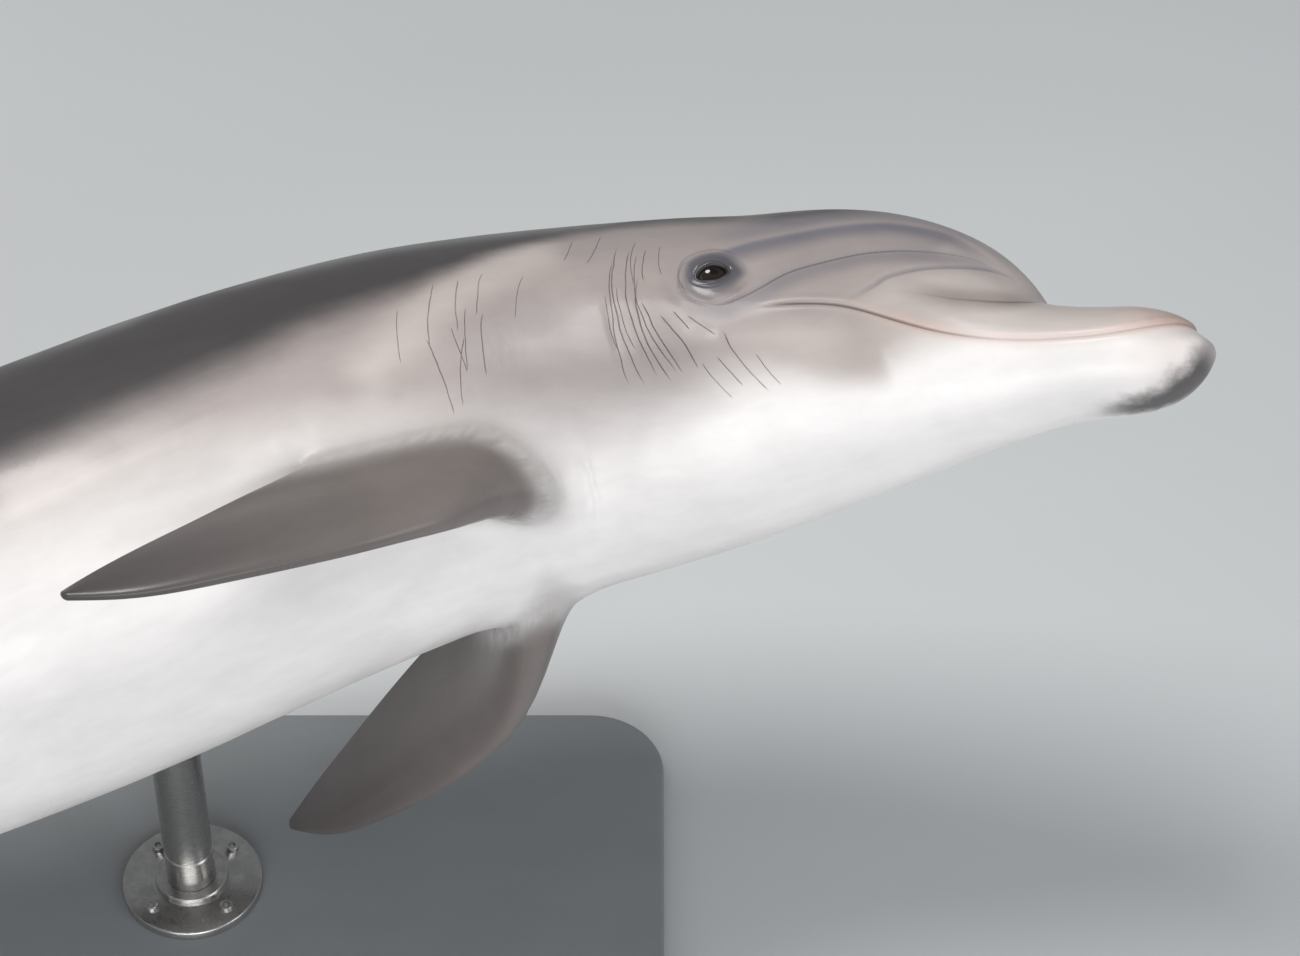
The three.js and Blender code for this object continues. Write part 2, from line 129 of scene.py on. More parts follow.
FIN_EDGE = 0.7  # least half-thickness of a fin
FIN_TIP = 0.995  # share of the span at which a fin's tip starts to round off
TIP_ROUND = 0.008  # share of the span that the rounding takes
DORSAL = {
    "base": 925, "foot": 150, "height": 196, "from": -0.2,
    "leading": ((-0.3, -95), (0, 0), (0.25, 92), (0.5, 172), (0.75, 243), (0.9, 289), (1, 330)),
    "chord": ((-0.3, 420), (0, 318), (0.25, 222), (0.5, 150), (0.75, 92), (0.9, 54), (0.97, 26), (1, 6)),
    "thickness": ((-0.3, 70), (0, 44), (0.25, 27), (0.6, 17), (1, 4)),
}
FLUKES = {
    "span": 262,
    "leading": ((0, 1910), (0.15, 1948), (0.35, 2006), (0.6, 2070), (0.8, 2120), (0.93, 2160), (1, 2192)),
    "chord": ((0, 226), (0.06, 222), (0.15, 211), (0.4, 133), (0.7, 62), (0.9, 30), (1, 5)),
    "thickness": ((0, 40), (0.15, 33), (0.4, 22), (0.7, 12), (1, 3)),
}
FLIPPER = {
    "root": Vector((525, 88, -104)), "length": 350, "from": -0.15, "tuck": 24, "tuck_reach": 0.25,
    "leading": ((-0.2, -62), (0, -70), (0.2, -71), (0.5, -62), (0.75, -40), (0.92, -14), (1, 8)),
    "chord": ((-0.2, 150), (0, 146), (0.2, 128), (0.5, 104), (0.75, 71), (0.92, 36), (1, 8)),
    "thickness": ((-0.2, 52), (0, 44), (0.2, 30), (0.5, 20), (0.8, 12), (1, 4)),
}
# aft, out and down parts of each blade's direction, and the degrees that its outer face is tipped up
FLIPPER_LAY = {1: (1, 0.3, 0.17, 16), -1: (1, 1.05, -0.2, 10)}

# ---------------------------------------------------------------- small tools


def lerp(start, end, share):
    return start + (end - start) * share


def ease(at, start, end):
    share = min(max((at - start) / (end - start), 0), 1)
    return share * share * (3 - 2 * share)


def bell(distance, width):
    """1 at no distance, falling off to each side."""
    return exp(-(distance / width) ** 2)


def halved(low, high, rounds, too_low):
    """Halves a range again and again, down to where too_low() stops being true."""
    for _ in range(rounds):
        middle = (low + high) / 2
        if too_low(middle):
            low = middle
        else:
            high = middle
    return low


def soft_max(a, b, softness):
    return 0.5 * (a + b + hypot(a - b, softness))


def signed_power(x, power):
    return abs(x) ** power * (1 if x > 0 else -1 if x < 0 else 0)


def smooth_curve(knots):
    """A natural cubic spline through (x, y) knots, held at its ends."""
    count = len(knots)
    x = [knot[0] for knot in knots]
    y = [knot[1] for knot in knots]
    bend = [0.0] * count
    carry = [0.0] * count
    for i in range(1, count - 1):
        share = (x[i] - x[i - 1]) / (x[i + 1] - x[i - 1])
        divisor = share * bend[i - 1] + 2
        bend[i] = (share - 1) / divisor
        rise = (y[i + 1] - y[i]) / (x[i + 1] - x[i]) - (y[i] - y[i - 1]) / (x[i] - x[i - 1])
        carry[i] = (6 * rise / (x[i + 1] - x[i - 1]) - share * carry[i - 1]) / divisor
    for i in range(count - 2, -1, -1):
        bend[i] = bend[i] * bend[i + 1] + carry[i]

    def value(at):
        place = min(max(at, x[0]), x[-1])
        i = 0
        while i < count - 2 and place > x[i + 1]:
            i += 1
        step = x[i + 1] - x[i]
        a = (x[i + 1] - place) / step
        b = (place - x[i]) / step
        curvature = ((a ** 3 - a) * bend[i] + (b ** 3 - b) * bend[i + 1]) * step * step / 6
        return a * y[i] + b * y[i + 1] + curvature

    return value


def eased_curve(knots):
    """A curve that is level at each (x, y) knot and eases from one to the next."""
    def value(at):
        total = knots[0][1]
        for (x0, y0), (x1, y1) in zip(knots, knots[1:]):
            total += (y1 - y0) * ease(at, x0, x1)
        return total

    return value


back_line, belly_line, half_width_line, waist_line = (
    smooth_curve([(section[0], section[column]) for section in SECTIONS]) for column in (1, 2, 3, 4)
)
lip_line = smooth_curve(LIPS)
fullness_line = smooth_curve(FULLNESS)
heading_line = eased_curve(HEADING)
sink_line = eased_curve(SINK)
roll_line = eased_curve(ROLL)

# ---------------------------------------------------------------- the body's surface


Station = namedtuple("Station", "back belly half_width waist lips power nose fillet")


@lru_cache(maxsize=None)
def station(aft):
    """What a cross-section is made from: heights, half-width, squareness and roundings."""
    nose = 1.0
    if aft < LIP_SETBACK + NOSE_LENGTH:
        nose = sqrt(max(0, 1 - (1 - (aft - LIP_SETBACK) / NOSE_LENGTH) ** 2))
    tail = 1.0
    if aft > STOCK_TIP - STOCK_TAPER:
        tail = sqrt(max(0, 1 - ((aft - STOCK_TIP + STOCK_TAPER) / STOCK_TAPER) ** 2))
    waist = waist_line(aft)
    back = waist + (back_line(aft) - waist) * tail
    belly = waist + (belly_line(aft) - waist) * tail
    half_width = half_width_line(aft) * tail
    lips = lerp(NOSE_LEVEL, lip_line(aft), nose)
    fillet = lerp(MELON_FRONT_FILLET, MELON_REAR_FILLET, ease(aft, 110, 230))
    return Station(back, belly, half_width, waist, lips, 2 / fullness_line(aft), nose, fillet)


def melon_radius(aft, right, up):
    along = (aft - MELON["centre"]) / MELON["length"]
    if abs(along) >= 1:
        return 0
    swell = sqrt(1 - along * along)
    height = MELON["height"] if up > 0 else MELON["underside"]
    return swell / hypot(right / MELON["width"], up / height)


def skin_point(aft, turn):
    """A point of the smooth skin. turn is 0 at the right side and a quarter turn along the back."""
    back, belly, half_width, waist, lips, power, nose, fillet = station(aft)
    c = signed_power(cos(turn), power)
    s = signed_power(sin(turn), power)
    reach = back - waist if s > 0 else waist - belly
    right = half_width * nose * c
    up = lerp(NOSE_LEVEL, waist + reach * s, nose)
    from_level = up - MELON["level"]
    radius = hypot(right, from_level)
    if from_level > 0 and radius > 1e-6:
        forehead = melon_radius(aft, right / radius, from_level / radius)
        grown = soft_max(radius, forehead, fillet) / soft_max(radius, 0, fillet)
        grown = 1 + (grown - 1) * ease(from_level, 0, 24)
        right *= grown
        up = MELON["level"] + from_level * grown
    below = ease(lips - up, 0, CHIN_DROP)
    forward = LIP_SETBACK * below * (1 - ease(aft, 20, 95))
    return Vector((aft - forward, right, up))


@lru_cache(maxsize=None)
def lip_turn(aft):
    """The angle round the section at which the skin is at the height of the lips."""
    place = max(aft, LIP_SETBACK + 1)
    return halved(-1.2, 1.2, 24, lambda turn: skin_point(place, turn).z < station(place).lips)


def climb_of(row):
    """How far up its own side a row is: 0 along the belly and 0.5 along the back."""
    return row if row <= 0.5 else 1 - row


def chart_turn(aft, row):
    """The angle of a row of the skin. row is 0 along the belly, 0.5 along the back and 1 at the belly
    again, on the left. Rows run along the lips and crowd together there."""
    climb = climb_of(row)
    lips = lip_turn(aft)
    crowd = lerp(0.35, 1, ease(aft, 250, 400))
    share = abs(4 * climb - 1)
    span = pi / 2 - lips if climb >= 0.25 else -(pi / 2 + lips)
    turn = lips + span * share * (crowd + (1 - crowd) * share)
    return turn if row <= 0.5 else pi - turn


def chart_point(aft, row):
    return skin_point(aft, chart_turn(aft, row))


@lru_cache(maxsize=None)
def spine_frame(aft):
    """Unit vectors aftward, right and up along the posed animal."""
    heading = radians(heading_line(aft))
    sink = radians(sink_line(aft))
    roll = radians(roll_line(aft))
    aftward = Vector((-cos(heading) * cos(sink), -sin(heading) * cos(sink), -sin(sink)))
    level_right = Vector((0, 0, 1)).cross(aftward).normalized()
    level_up = aftward.cross(level_right)
    right = level_right * cos(roll) + level_up * sin(roll)
    up = level_up * cos(roll) - level_right * sin(roll)
    return aftward, right, up


def bent_spine():
    points = [BEAK_TIP.copy()]
    for aft in range(0, SPINE_LENGTH, SPINE_STEP):
        points.append(points[-1] + spine_frame(aft + SPINE_STEP / 2)[0] * SPINE_STEP)
    return points


SPINE = bent_spine()


def spine_point(aft):
    place = min(max(aft / SPINE_STEP, 0), len(SPINE) - 1.001)
    i = int(place)
    point = SPINE[i].lerp(SPINE[i + 1], place - i)
    if aft < 0:
        point = point + spine_frame(0)[0] * aft
    return point


def pose(point):
    """Takes a point of the straight animal, in millimetres, to the model's place, in metres."""
    _, right, up = spine_frame(point.x)
    return (spine_point(point.x) + right * point.y + up * point.z) * MM


# ---------------------------------------------------------------- the eyes


@lru_cache(maxsize=None)
def eye_seat(hand):
    """Centre of an eyeball and the way it faces, in the straight animal."""
    step = 0.01
    turn = 0
    while skin_point(EYE_AFT, turn).z < EYE_UP:
        turn += step
    point = skin_point(EYE_AFT, turn)
    beyond = skin_point(EYE_AFT, turn + step)
    outward = Vector((0, beyond.z - point.z, point.y - beyond.y)).normalized()
    centre = point + outward * (EYE_PROUD - EYE_RADIUS)
    return Vector((centre.x, hand * centre.y, centre.z)), Vector((0, hand * outward.y, outward.z))


EYE_ROW = halved(0.25, 0.5, 24, lambda row: chart_point(EYE_AFT, row).z < EYE_UP)
MM_PER_ROW = (chart_point(EYE_AFT, EYE_ROW + 0.01) - chart_point(EYE_AFT, EYE_ROW - 0.01)).length / 0.02
ROW_RISE = (chart_point(EYE_AFT + 5, EYE_ROW).z - chart_point(EYE_AFT - 5, EYE_ROW).z) / 10


def eye_local(aft, row, sizes):
    """Distance and direction of a place on the skin from the middle of the nearer eye's opening."""
    along = aft - EYE_AFT - sizes.opening_aft / MM
    across = (climb_of(row) - EYE_ROW) * MM_PER_ROW - sizes.opening_up / MM + ROW_RISE * along
    return hypot(along, across), atan2(across, along)


def eye_place(radius, angle, sizes):
    """The distance aft and the row of the right side that eye_local() turns into radius and angle."""
    along = radius * cos(angle)
    across = radius * sin(angle) - ROW_RISE * along
    climb = EYE_ROW + (sizes.opening_up / MM + across) / MM_PER_ROW
    return EYE_AFT + sizes.opening_aft / MM + along, climb


def opening_radius(angle, sizes):
    """Distance of the lids' edge from the middle of the opening, in a direction."""
    tilted = angle + sizes.opening_tilt
    half_length = sizes.opening_length / 2 / MM
    half_height = sizes.opening_height / 2 / MM
    upper, lower = 1.08, 0.92  # the upper lid is more arched than the lower one
    across = abs(sin(tilted)) / (half_height * (upper if sin(tilted) > 0 else lower))
    along = abs(cos(tilted)) / half_length
    power = sizes.canthus
    return (along ** power + across ** power) ** (-1 / power)


# ---------------------------------------------------------------- lines on the skin

# Lines of the face as (aft, up) on the side, each from its rear end forward. Positive is above a line.
# The lid_patch goes once round the eye, and negative is inside it.
FACE_LINES = {
    "bridle": (
        (345, 53), (352, 42), (354, 29), (348, 17), (338, 9.5), (322, 7), (309, 12), (297, 19), (278, 32),
        (258, 40), (234, 48), (216, 51), (202, 52), (180, 51), (160, 48), (150, 43), (141, 38), (129, 31),
        (121, 28),
    ),
    "brow": (
        (340, 47), (328, 53), (315, 60), (304, 65), (282, 73), (258, 80), (228, 84), (207, 82), (181, 75),
        (160, 60), (142, 43), (127, 34), (121, 32),
    ),
    "pout": ((212, 15), (190, 12), (171, 9), (150, 9), (135, 11), (122, 15), (112, 21)),
    "cheek_fold": (
        (244, 2), (232, 9), (220, 18), (211, 26), (190, 34), (163, 38), (145, 38), (130, 34),
    ),
    "lid_patch": (
        (352, 34), (350, 43), (342, 50), (330, 53), (318, 48), (306, 33), (313, 20), (326, 12), (340, 13),
        (350, 22), (352, 34),
    ),
}
# Folds beside the lines: how far a line reaches, the shares of its length over which its folds come and
# go, and each fold's height, place across the line and width.
FACE_FOLDS = {
    "bridle": (24, (0, 0.12), (0.8, 1), ((0.7, 6, 5), (-0.5, -0.4, 1.7), (-0.5, -7, 6))),
    "brow": (30, (0.05, 0.2), (0.7, 1), ((0.6, 5, 5), (-0.6, -5, 6))),
    "pout": (20, (0.35, 0.85), (0.85, 1), ((0.6, 5, 4), (-1.0, 0, 2.2))),
    "cheek_fold": (20, (0, 0.3), (0.7, 1), ((0.35, 5, 4), (-0.4, -1, 3))),
}
FACE_REAR = 460  # no line of the face reaches further aft
# Creases of the neck behind the eye and under it, as from, to, bow and width. Their darker colour is painted
# shade.
CREASES = (
    ((402, 62), (378, -55), 10, 0.75),
    ((393, 58), (368, -48), 9, 0.75),
    ((387, 54), (352, -45), 12, 0.6),
    ((384, 30), (358, -50), 9, 0.8),
    ((380, 8), (349, -44), 2, 0.75),
    ((366, -2), (339, -40), -2, 0.8),
    ((356, 1), (345, -12), 0, 0.6),
    ((346, -2), (327, -15), 0, 0.6),
    ((322, -12), (293, -54), 3, 0.7),
    ((327, -30), (311, -50), 0, 0.55),
    ((405, 45), (391, -56), 4, 0.6),
    ((399, 20), (384, -30), 3, 0.45),
    ((381, 56), (379, 24), 2, 0.5),
    ((418, 75), (424, 39), -2, 0.5),
    ((438, 69), (441, 42), -1, 0.45),
    ((390, 66), (386, 20), 3, 0.4),
    ((371, 60), (366, 30), 2, 0.35),
    ((408, 12), (397, -32), 2, 0.4),
    ((337, -34), (318, -58), 1, 0.4),
    ((301, -28), (284, -50), 1, 0.4),
)
# Painted sheens down the shoulder and on the forehead, lighter colour standing in for highlights, as from,
# to, bow and width.
GLEAMS = (((440, 66), (625, -48), 0, 42), ((185, 62), (105, 22), -4, 22))
# Painted shade under and behind the eye and on the cheek, as aft, up, length, height and strength.
SHADES = ((323, 20, 22, 9, 0.6), (327, 9, 36, 27, 0.8), (372, -14, 62, 62, 0.4), (226, -22, 34, 26, 0.3))
# Old tooth rakes on the flank, as from, to, bow and width.
RAKES = (
    ((536, 31), (549, -30), 2, 0.7),
    ((519, 31), (525, -20), 1, 0.7),
    ((516, 3), (522, -52), 1, 0.6),
    ((501, 35), (508, -8), 1, 0.6),
    ((502, -3), (506, -56), 2, 0.8),
    ((551, -18), (540, -82), -2, 0.8),
    ((530, -13), (522, -52), 0, 0.5),
    ((520, -22), (531, -76), 2, 0.55),
    ((470, 30), (478, -12), 1, 0.4),
    ((566, 12), (574, -36), 1, 0.45),
)


def side_turn(aft, up):
    """The angle round the section at which the right side is at a height."""
    return halved(-1.55, 1.55, 20, lambda turn: skin_point(aft, turn).z < up)


def curve_through(knots):
    """Points about a millimetre apart on a smooth curve through (aft, up) knots."""
    points = []
    count = len(knots) - 1
    for i in range(count):
        before = knots[max(i - 1, 0)]
        start = knots[i]
        end = knots[i + 1]
        after = knots[min(i + 2, count)]
        pieces = max(2, round(hypot(end[0] - start[0], end[1] - start[1])))
        for j in range(pieces):
            t = j / pieces
            points.append(tuple(
                0.5 * (2 * b + (c - a) * t + (2 * a - 5 * b + 4 * c - d) * t * t
                       + (3 * b - a - 3 * c + d) * t ** 3)
                for a, b, c, d in zip(before, start, end, after)
            ))
    return points + [knots[-1]]


class SkinLine:
    """A line drawn on the right side, which tells how far and how far along it a point is."""

    def __init__(self, knots):
        flat = curve_through(knots)
        self.tree = KDTree(len(flat))
        self.samples = []
        for i, (aft, up) in enumerate(flat):
            turn = side_turn(aft, up)
            point = skin_point(aft, turn)
            aftward = (skin_point(aft + 1, turn) - point).normalized()
            upward = (skin_point(aft, turn + 0.01) - point).normalized()
            last = flat[max(i - 1, 0)]
            following = flat[min(i + 1, len(flat) - 1)]
            across = aftward * (following[1] - last[1]) - upward * (following[0] - last[0])
            self.samples.append((point, across.normalized(), i / (len(flat) - 1)))
            self.tree.insert(point, i)
        self.tree.balance()

    def place(self, point):
        """Signed distance across the line, share along it, and plain distance."""
        mirrored = Vector((point.x, abs(point.y), point.z))
        _, i, gap = self.tree.find(mirrored)
        sample, across, along = self.samples[i]
        return (mirrored - sample).dot(across), along, gap


@lru_cache(maxsize=None)
def face_line(name):
    return SkinLine(FACE_LINES[name])


def crease_share(aft, up, crease, width):
    """How much a point is on a crease: 1 in its middle, 0 off it."""
    start, end, bow, _ = crease
    way = (end[0] - start[0], end[1] - start[1])
    off = (aft - start[0], up - start[1])
    length = hypot(*way)
    along = (off[0] * way[0] + off[1] * way[1]) / length ** 2
    if not 0 < along < 1:
        return 0
    across = (way[0] * off[1] - way[1] * off[0]) / length - bow * 4 * along * (1 - along)
    return bell(across, width) * ease(along, 0, 0.2) * (1 - ease(along, 0.8, 1))


# ---------------------------------------------------------------- relief of the skin


def blowhole_relief(aft, right, sizes):
    """A crescent slit, its ends pointing forward, with a raised lip in front."""
    along = aft - sizes.blowhole_aft / MM + sizes.blowhole_radius / MM / 2
    radius = hypot(along, right)
    angle = abs(atan2(right, along))
    if radius > 40:
        return 0
    gate = 1 - ease(angle, 0.85, 1.15)
    off = radius - sizes.blowhole_radius / MM
    slit = -sizes.blowhole_depth / MM * bell(off, 1.3) * gate
    front_lip = 1.5 * bell(off + 4.5, 3.4) * gate
    rear_lip = 0.9 * bell(off - 4.5, 3.2) * gate
    return slit + front_lip + rear_lip + 0.7 * bell(radius, 12)


def belly_relief(aft, right):
    """The navel, and the slits on the midline of the belly."""
    rim = hypot((aft - NAVEL) / 2, right) - 8
    dimple = hypot((aft - NAVEL) / 2.2, right)
    height = 0.5 * bell(rim, 4) - 1.2 * bell(dimple, 3.5)
    for start, end in BELLY_SLITS:
        gate = ease(aft, start, start + 14) * (1 - ease(aft, end - 14, end))
        height += gate * (0.9 * bell(abs(right) - 6, 4) - 2.4 * bell(right, 1.9))
    return height


def lip_relief(aft, up, sizes):
    """The groove of the mouth with its soft edges, and the crease behind its corner."""
    if aft > MOUTH_CORNER + 40:
        return 0
    off = up - station(max(aft, LIP_SETBACK)).lips
    fade = 1 - ease(aft, MOUTH_CORNER - 18, MOUTH_CORNER + 26)
    rolls = 0.5 * bell(off - 4.2, 2.6) + 0.65 * bell(off + 4.4, 2.8)
    depth = sizes.lip_depth / MM * lerp(0.6, 1, ease(aft, 120, 220))
    return (rolls - depth * bell(off, sizes.lip_width / MM)) * fade


def melon_relief(aft, right, up):
    """The crease where the forehead meets the top of the beak."""
    from_level = up - MELON["level"]
    if not 95 < aft < 190 or from_level <= 0:
        return 0
    radius = hypot(right, from_level)
    gap = radius - melon_radius(aft, right / radius, from_level / radius)
    return -0.9 * bell(gap, 3.2) * (1 - ease(aft, 122, 160)) * ease(up, -8, 6)


def undulation(point):
    """Slow swells of the flesh."""
    slow = noise.noise(Vector((point.x / 160, point.y / 90, point.z / 90)))
    fine = noise.noise(Vector((point.x / 46, point.y / 40, point.z / 40)) + Vector((7, 3, 1)))
    on_body = ease(point.x, 260, 520)
    return slow * 1.1 * on_body + fine * lerp(0.12, 0.3, on_body)


def face_relief(point):
    """Folds along the lines of the face, the swell of the lids and the creases of the neck."""
    if not 120 < point.x < 440 or point.z < -70:
        return 0
    height = 0
    for name, (reach, start, end, folds) in FACE_FOLDS.items():
        across, along, gap = face_line(name).place(point)
        if gap < reach:
            gate = ease(along, *start) * (1 - ease(along, *end))
            height += gate * sum(rise * bell(across - off, width) for rise, off, width in folds)
    across, _, gap = face_line("lid_patch").place(point)
    if gap < 30:
        height += 1.3 * ease(-across, -1, 9) - 0.55 * bell(across - 1.4, 1.5)
    for crease in CREASES:
        height -= 0.4 * crease_share(point.x, point.z, crease, 2.6)
    return height


def lid_relief(clear, angle):
    """Folds round the eye. clear is the distance outside the lids' edge."""
    upper = ease(sin(angle), -0.3, 0.5)
    folds = -0.75 * bell(clear - 2.8, 1.0) * (0.25 + 0.75 * upper)
    folds -= 0.5 * bell(clear - 5.4, 1.3) * (1 - 0.8 * upper)
    folds += 0.35 * bell(clear - 4.6, 1.2) * upper
    return folds + 0.3 * bell(clear - 1.1, 1.0)


def opening_edge(sizes):
    """Points all round the edge of the right eye's opening, for finding the lids' rim."""
    count = 180
    tree = KDTree(count)
    for i in range(count):
        angle = i * 2 * pi / count
        aft, climb = eye_place(opening_radius(angle, sizes), angle, sizes)
        tree.insert(draped(chart_point(aft, climb), sizes), i)
    tree.balance()
    return tree


# ---------------------------------------------------------------- meshes


def tube(steps, points, place):
    """A closed skin from a grid. place(step, share) puts the grid's points, share going once round."""
    bm = bmesh.new()
    bmesh.ops.create_grid(bm, x_segments=steps, y_segments=points, size=1)
    for vert in bm.verts:
        step = round((vert.co.x + 1) / 2 * steps)
        vert.co = place(step, (vert.co.y + 1) / 2)
    bmesh.ops.remove_doubles(bm, verts=bm.verts, dist=1e-3)
    bmesh.ops.recalc_face_normals(bm, faces=bm.faces)
    return bm


def linked(name, data):
    """A new object in the scene."""
    thing = bpy.data.objects.new(name, data)
    bpy.context.scene.collection.objects.link(thing)
    return thing


def mesh_object(bm, name):
    mesh = bpy.data.meshes.new(name)
    bm.to_mesh(mesh)
    bm.free()
    return linked(name, mesh)


def smooth_shading(piece):
    for face in piece.data.polygons:
        face.use_smooth = True


def finish_piece(piece, material, replaced=()):
    piece.data.materials.clear()
    piece.data.materials.append(material)
    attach(piece, BODY)
    if replaced:
        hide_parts(*replaced)


# ---------------------------------------------------------------- the body's skin


def ring_places(sizes):
    """Where the rings of the body stand: close together on the head, wide apart on the trunk."""
    rounds = 22
    places = [LIP_SETBACK + NOSE_LENGTH * (1 - cos(i / rounds * pi / 2)) for i in range(rounds)]
    at = LIP_SETBACK + NOSE_LENGTH
    while at < STOCK_TIP - STOCK_TAPER:
        places.append(at)
        at += lerp(sizes.head_spacing / MM, sizes.trunk_spacing / MM, ease(at, 400, 640))
    tail_rounds = 10
    for i in range(tail_rounds + 1):
        places.append(STOCK_TIP - STOCK_TAPER * (1 - sin(i / tail_rounds * pi / 2)))
    return places


def edges_within(bm, test):
    """Edges of the chart's faces whose middle, as (aft, row), passes a test."""
    chosen = set()
    for face in bm.faces:
        middle = face.calc_center_median()
        if test(middle.x, middle.y):
            chosen.update(face.edges)
    return list(chosen)


def body_chart(sizes):
    """A flat grid whose x is the distance aft and whose y is the row, finer where the shape is."""
    places = ring_places(sizes)
    steps = len(places) - 1
    bm = bmesh.new()
    bmesh.ops.create_grid(bm, x_segments=steps, y_segments=sizes.rows, size=1)
    for vert in bm.verts:
        step = round((vert.co.x + 1) / 2 * steps)
        vert.co = (places[step], (vert.co.y + 1) / 2, 0)
    on_head = edges_within(bm, lambda aft, row: aft < FINE_HEAD)
    across = [edge for edge in on_head if abs(edge.verts[0].co.x - edge.verts[1].co.x) < 1e-4]
    bmesh.ops.subdivide_edges(bm, edges=across, cuts=1)
    blowhole = sizes.blowhole_aft / MM
    crown = edges_within(bm, lambda aft, row: abs(aft - blowhole) < 24 and abs(row - 0.5) < 0.045)
    bmesh.ops.subdivide_edges(bm, edges=crown, cuts=2, use_grid_fill=True)
    belly = edges_within(bm, near_belly_mark)
    bmesh.ops.subdivide_edges(bm, edges=belly, cuts=4, use_grid_fill=True)
    roots = edges_within(bm, near_fin_root)
    bmesh.ops.subdivide_edges(bm, edges=roots, cuts=1, use_grid_fill=True)
    return bm


def near_belly_mark(aft, row):
    near = abs(aft - NAVEL) < 24 or any(start - 12 < aft < end + 12 for start, end in BELLY_SLITS)
    return near and climb_of(row) < 0.018


def near_fin_root(aft, row):
    climb = climb_of(row)
    at_dorsal = climb > 0.45 and 870 < aft < 1300
    at_flipper = 0.06 < climb < 0.24 and FIN_START < aft < 720
    at_flukes = aft > 1880
    return at_dorsal or at_flipper or at_flukes


def open_eye(bm, row, sizes, tag):
    """Cuts a window in the chart, brings loops in from its edge to the lids, and turns the last loops
    into a cup behind the eyeball. tag is a layer: 0 on the skin, up to 1 at the back of the cup."""
    window_length = 24
    window_height = 19
    loops = 24
    cup_loops = 10

    def in_window(face):
        middle = face.calc_center_median()
        along = abs(middle.x - EYE_AFT - sizes.opening_aft / MM)
        return along < window_length and abs(middle.y - row) * MM_PER_ROW < window_height

    faces = [face for face in bm.faces if in_window(face)]
    near = {vert for face in faces for vert in face.verts}
    bmesh.ops.delete(bm, geom=faces, context="FACES")
    rim = [edge for edge in bm.edges if edge.is_boundary and all(vert in near for vert in edge.verts)]

    def next_loop(rim):
        made = bmesh.ops.extrude_edge_only(bm, edges=rim)["geom"]
        verts = [item for item in made if isinstance(item, bmesh.types.BMVert)]
        fresh = set(verts)
        edges = [item for item in made if isinstance(item, bmesh.types.BMEdge)]
        return verts, [edge for edge in edges if all(vert in fresh for vert in edge.verts)]

    for loop in range(loops):
        verts, rim = next_loop(rim)
        for vert in verts:
            radius, angle = eye_local(vert.co.x, vert.co.y, sizes)
            radius += (opening_radius(angle, sizes) - radius) / (loops - loop)
            aft, climb = eye_place(radius, angle, sizes)
            vert.co.x = aft
            vert.co.y = climb if row <= 0.5 else 1 - climb
            vert[tag] = 0
    for loop in range(cup_loops):
        verts, rim = next_loop(rim)
        for vert in verts:
            vert[tag] = (loop + 1) / cup_loops


# The lids' rounded margin: share of the cup, height above the eyeball and turn toward its middle.
LID_MARGIN = ((0.15, 1.9, 0.035), (0.25, 1.0, 0.05), (0.35, 0.0, 0.03))


@lru_cache(maxsize=None)
def opening_axis(hand):
    """Centre of an eyeball and the way from it to the middle of the lids' opening."""
    centre, _ = eye_seat(hand)
    aft, climb = eye_place(0, 0, bpy.context.scene.dolphin_skin)
    middle = chart_point(aft, climb)
    return centre, (Vector((middle.x, hand * middle.y, middle.z)) - centre).normalized()


def cup_place(edge_point, share, hand):
    """A place on the lids' margin or in the cup behind the eyeball."""
    centre, gaze = opening_axis(hand)
    toward = (edge_point - centre).normalized()
    clearance = EYE_RADIUS + 0.25
    for limit, above, inward in LID_MARGIN:
        if share < limit:
            return centre + toward.slerp(gaze, inward) * (clearance + above)
    turn_back = toward.slerp(-gaze, (share - 0.3) / 0.7)
    return centre + turn_back * (clearance + 0.8)


def draped(point, sizes):
    """The skin, lifted where it lies over an eyeball."""
    hand = 1 if point.y > 0 else -1
    centre, _ = eye_seat(hand)
    away = point - centre
    if away.length > 40:
        return point
    lifted = soft_max(away.length, EYE_RADIUS + sizes.lid_thickness / MM, 2.2)
    lift = lifted - soft_max(away.length, 0, 2.2)
    return point + away.normalized() * max(0, lift)


def wrap_chart(bm, sizes, tag):
    """Takes the flat chart to the animal's shape. Returns the heights of the lids' folds, which are None
    in the cups behind the eyeballs."""
    folds = {}
    for vert in bm.verts:
        aft, row = vert.co.x, vert.co.y
        point = chart_point(aft, row)
        if abs(aft - EYE_AFT) < 45:
            point = draped(point, sizes)
            radius, angle = eye_local(aft, row, sizes)
            if radius < 30:
                folds[vert] = lid_relief(radius - opening_radius(angle, sizes), angle)
        if vert[tag] > 0:
            point = cup_place(point, vert[tag], 1 if row <= 0.5 else -1)
            folds[vert] = None
        vert.co = point
    return folds


def turn_outwards(bm):
    """Makes the faces of the open skin point outwards, as the crown tells."""
    bmesh.ops.recalc_face_normals(bm, faces=bm.faces)
    bm.normal_update()
    crown = max(bm.verts, key=lambda vert: vert.co.z)
    if crown.normal.z < 0:
        bmesh.ops.reverse_faces(bm, faces=bm.faces)
        bm.normal_update()


def relief(point, sizes):
    """Height of the skin's relief at a point of the smooth skin."""
    aft, right, up = point
    height = lip_relief(aft, up, sizes) + melon_relief(aft, right, up)
    height += undulation(point) + face_relief(point)
    if up > 60:
        height += blowhole_relief(aft, right, sizes)
    if up < 0 and abs(right) < 24:
        height += belly_relief(aft, right)
    return height


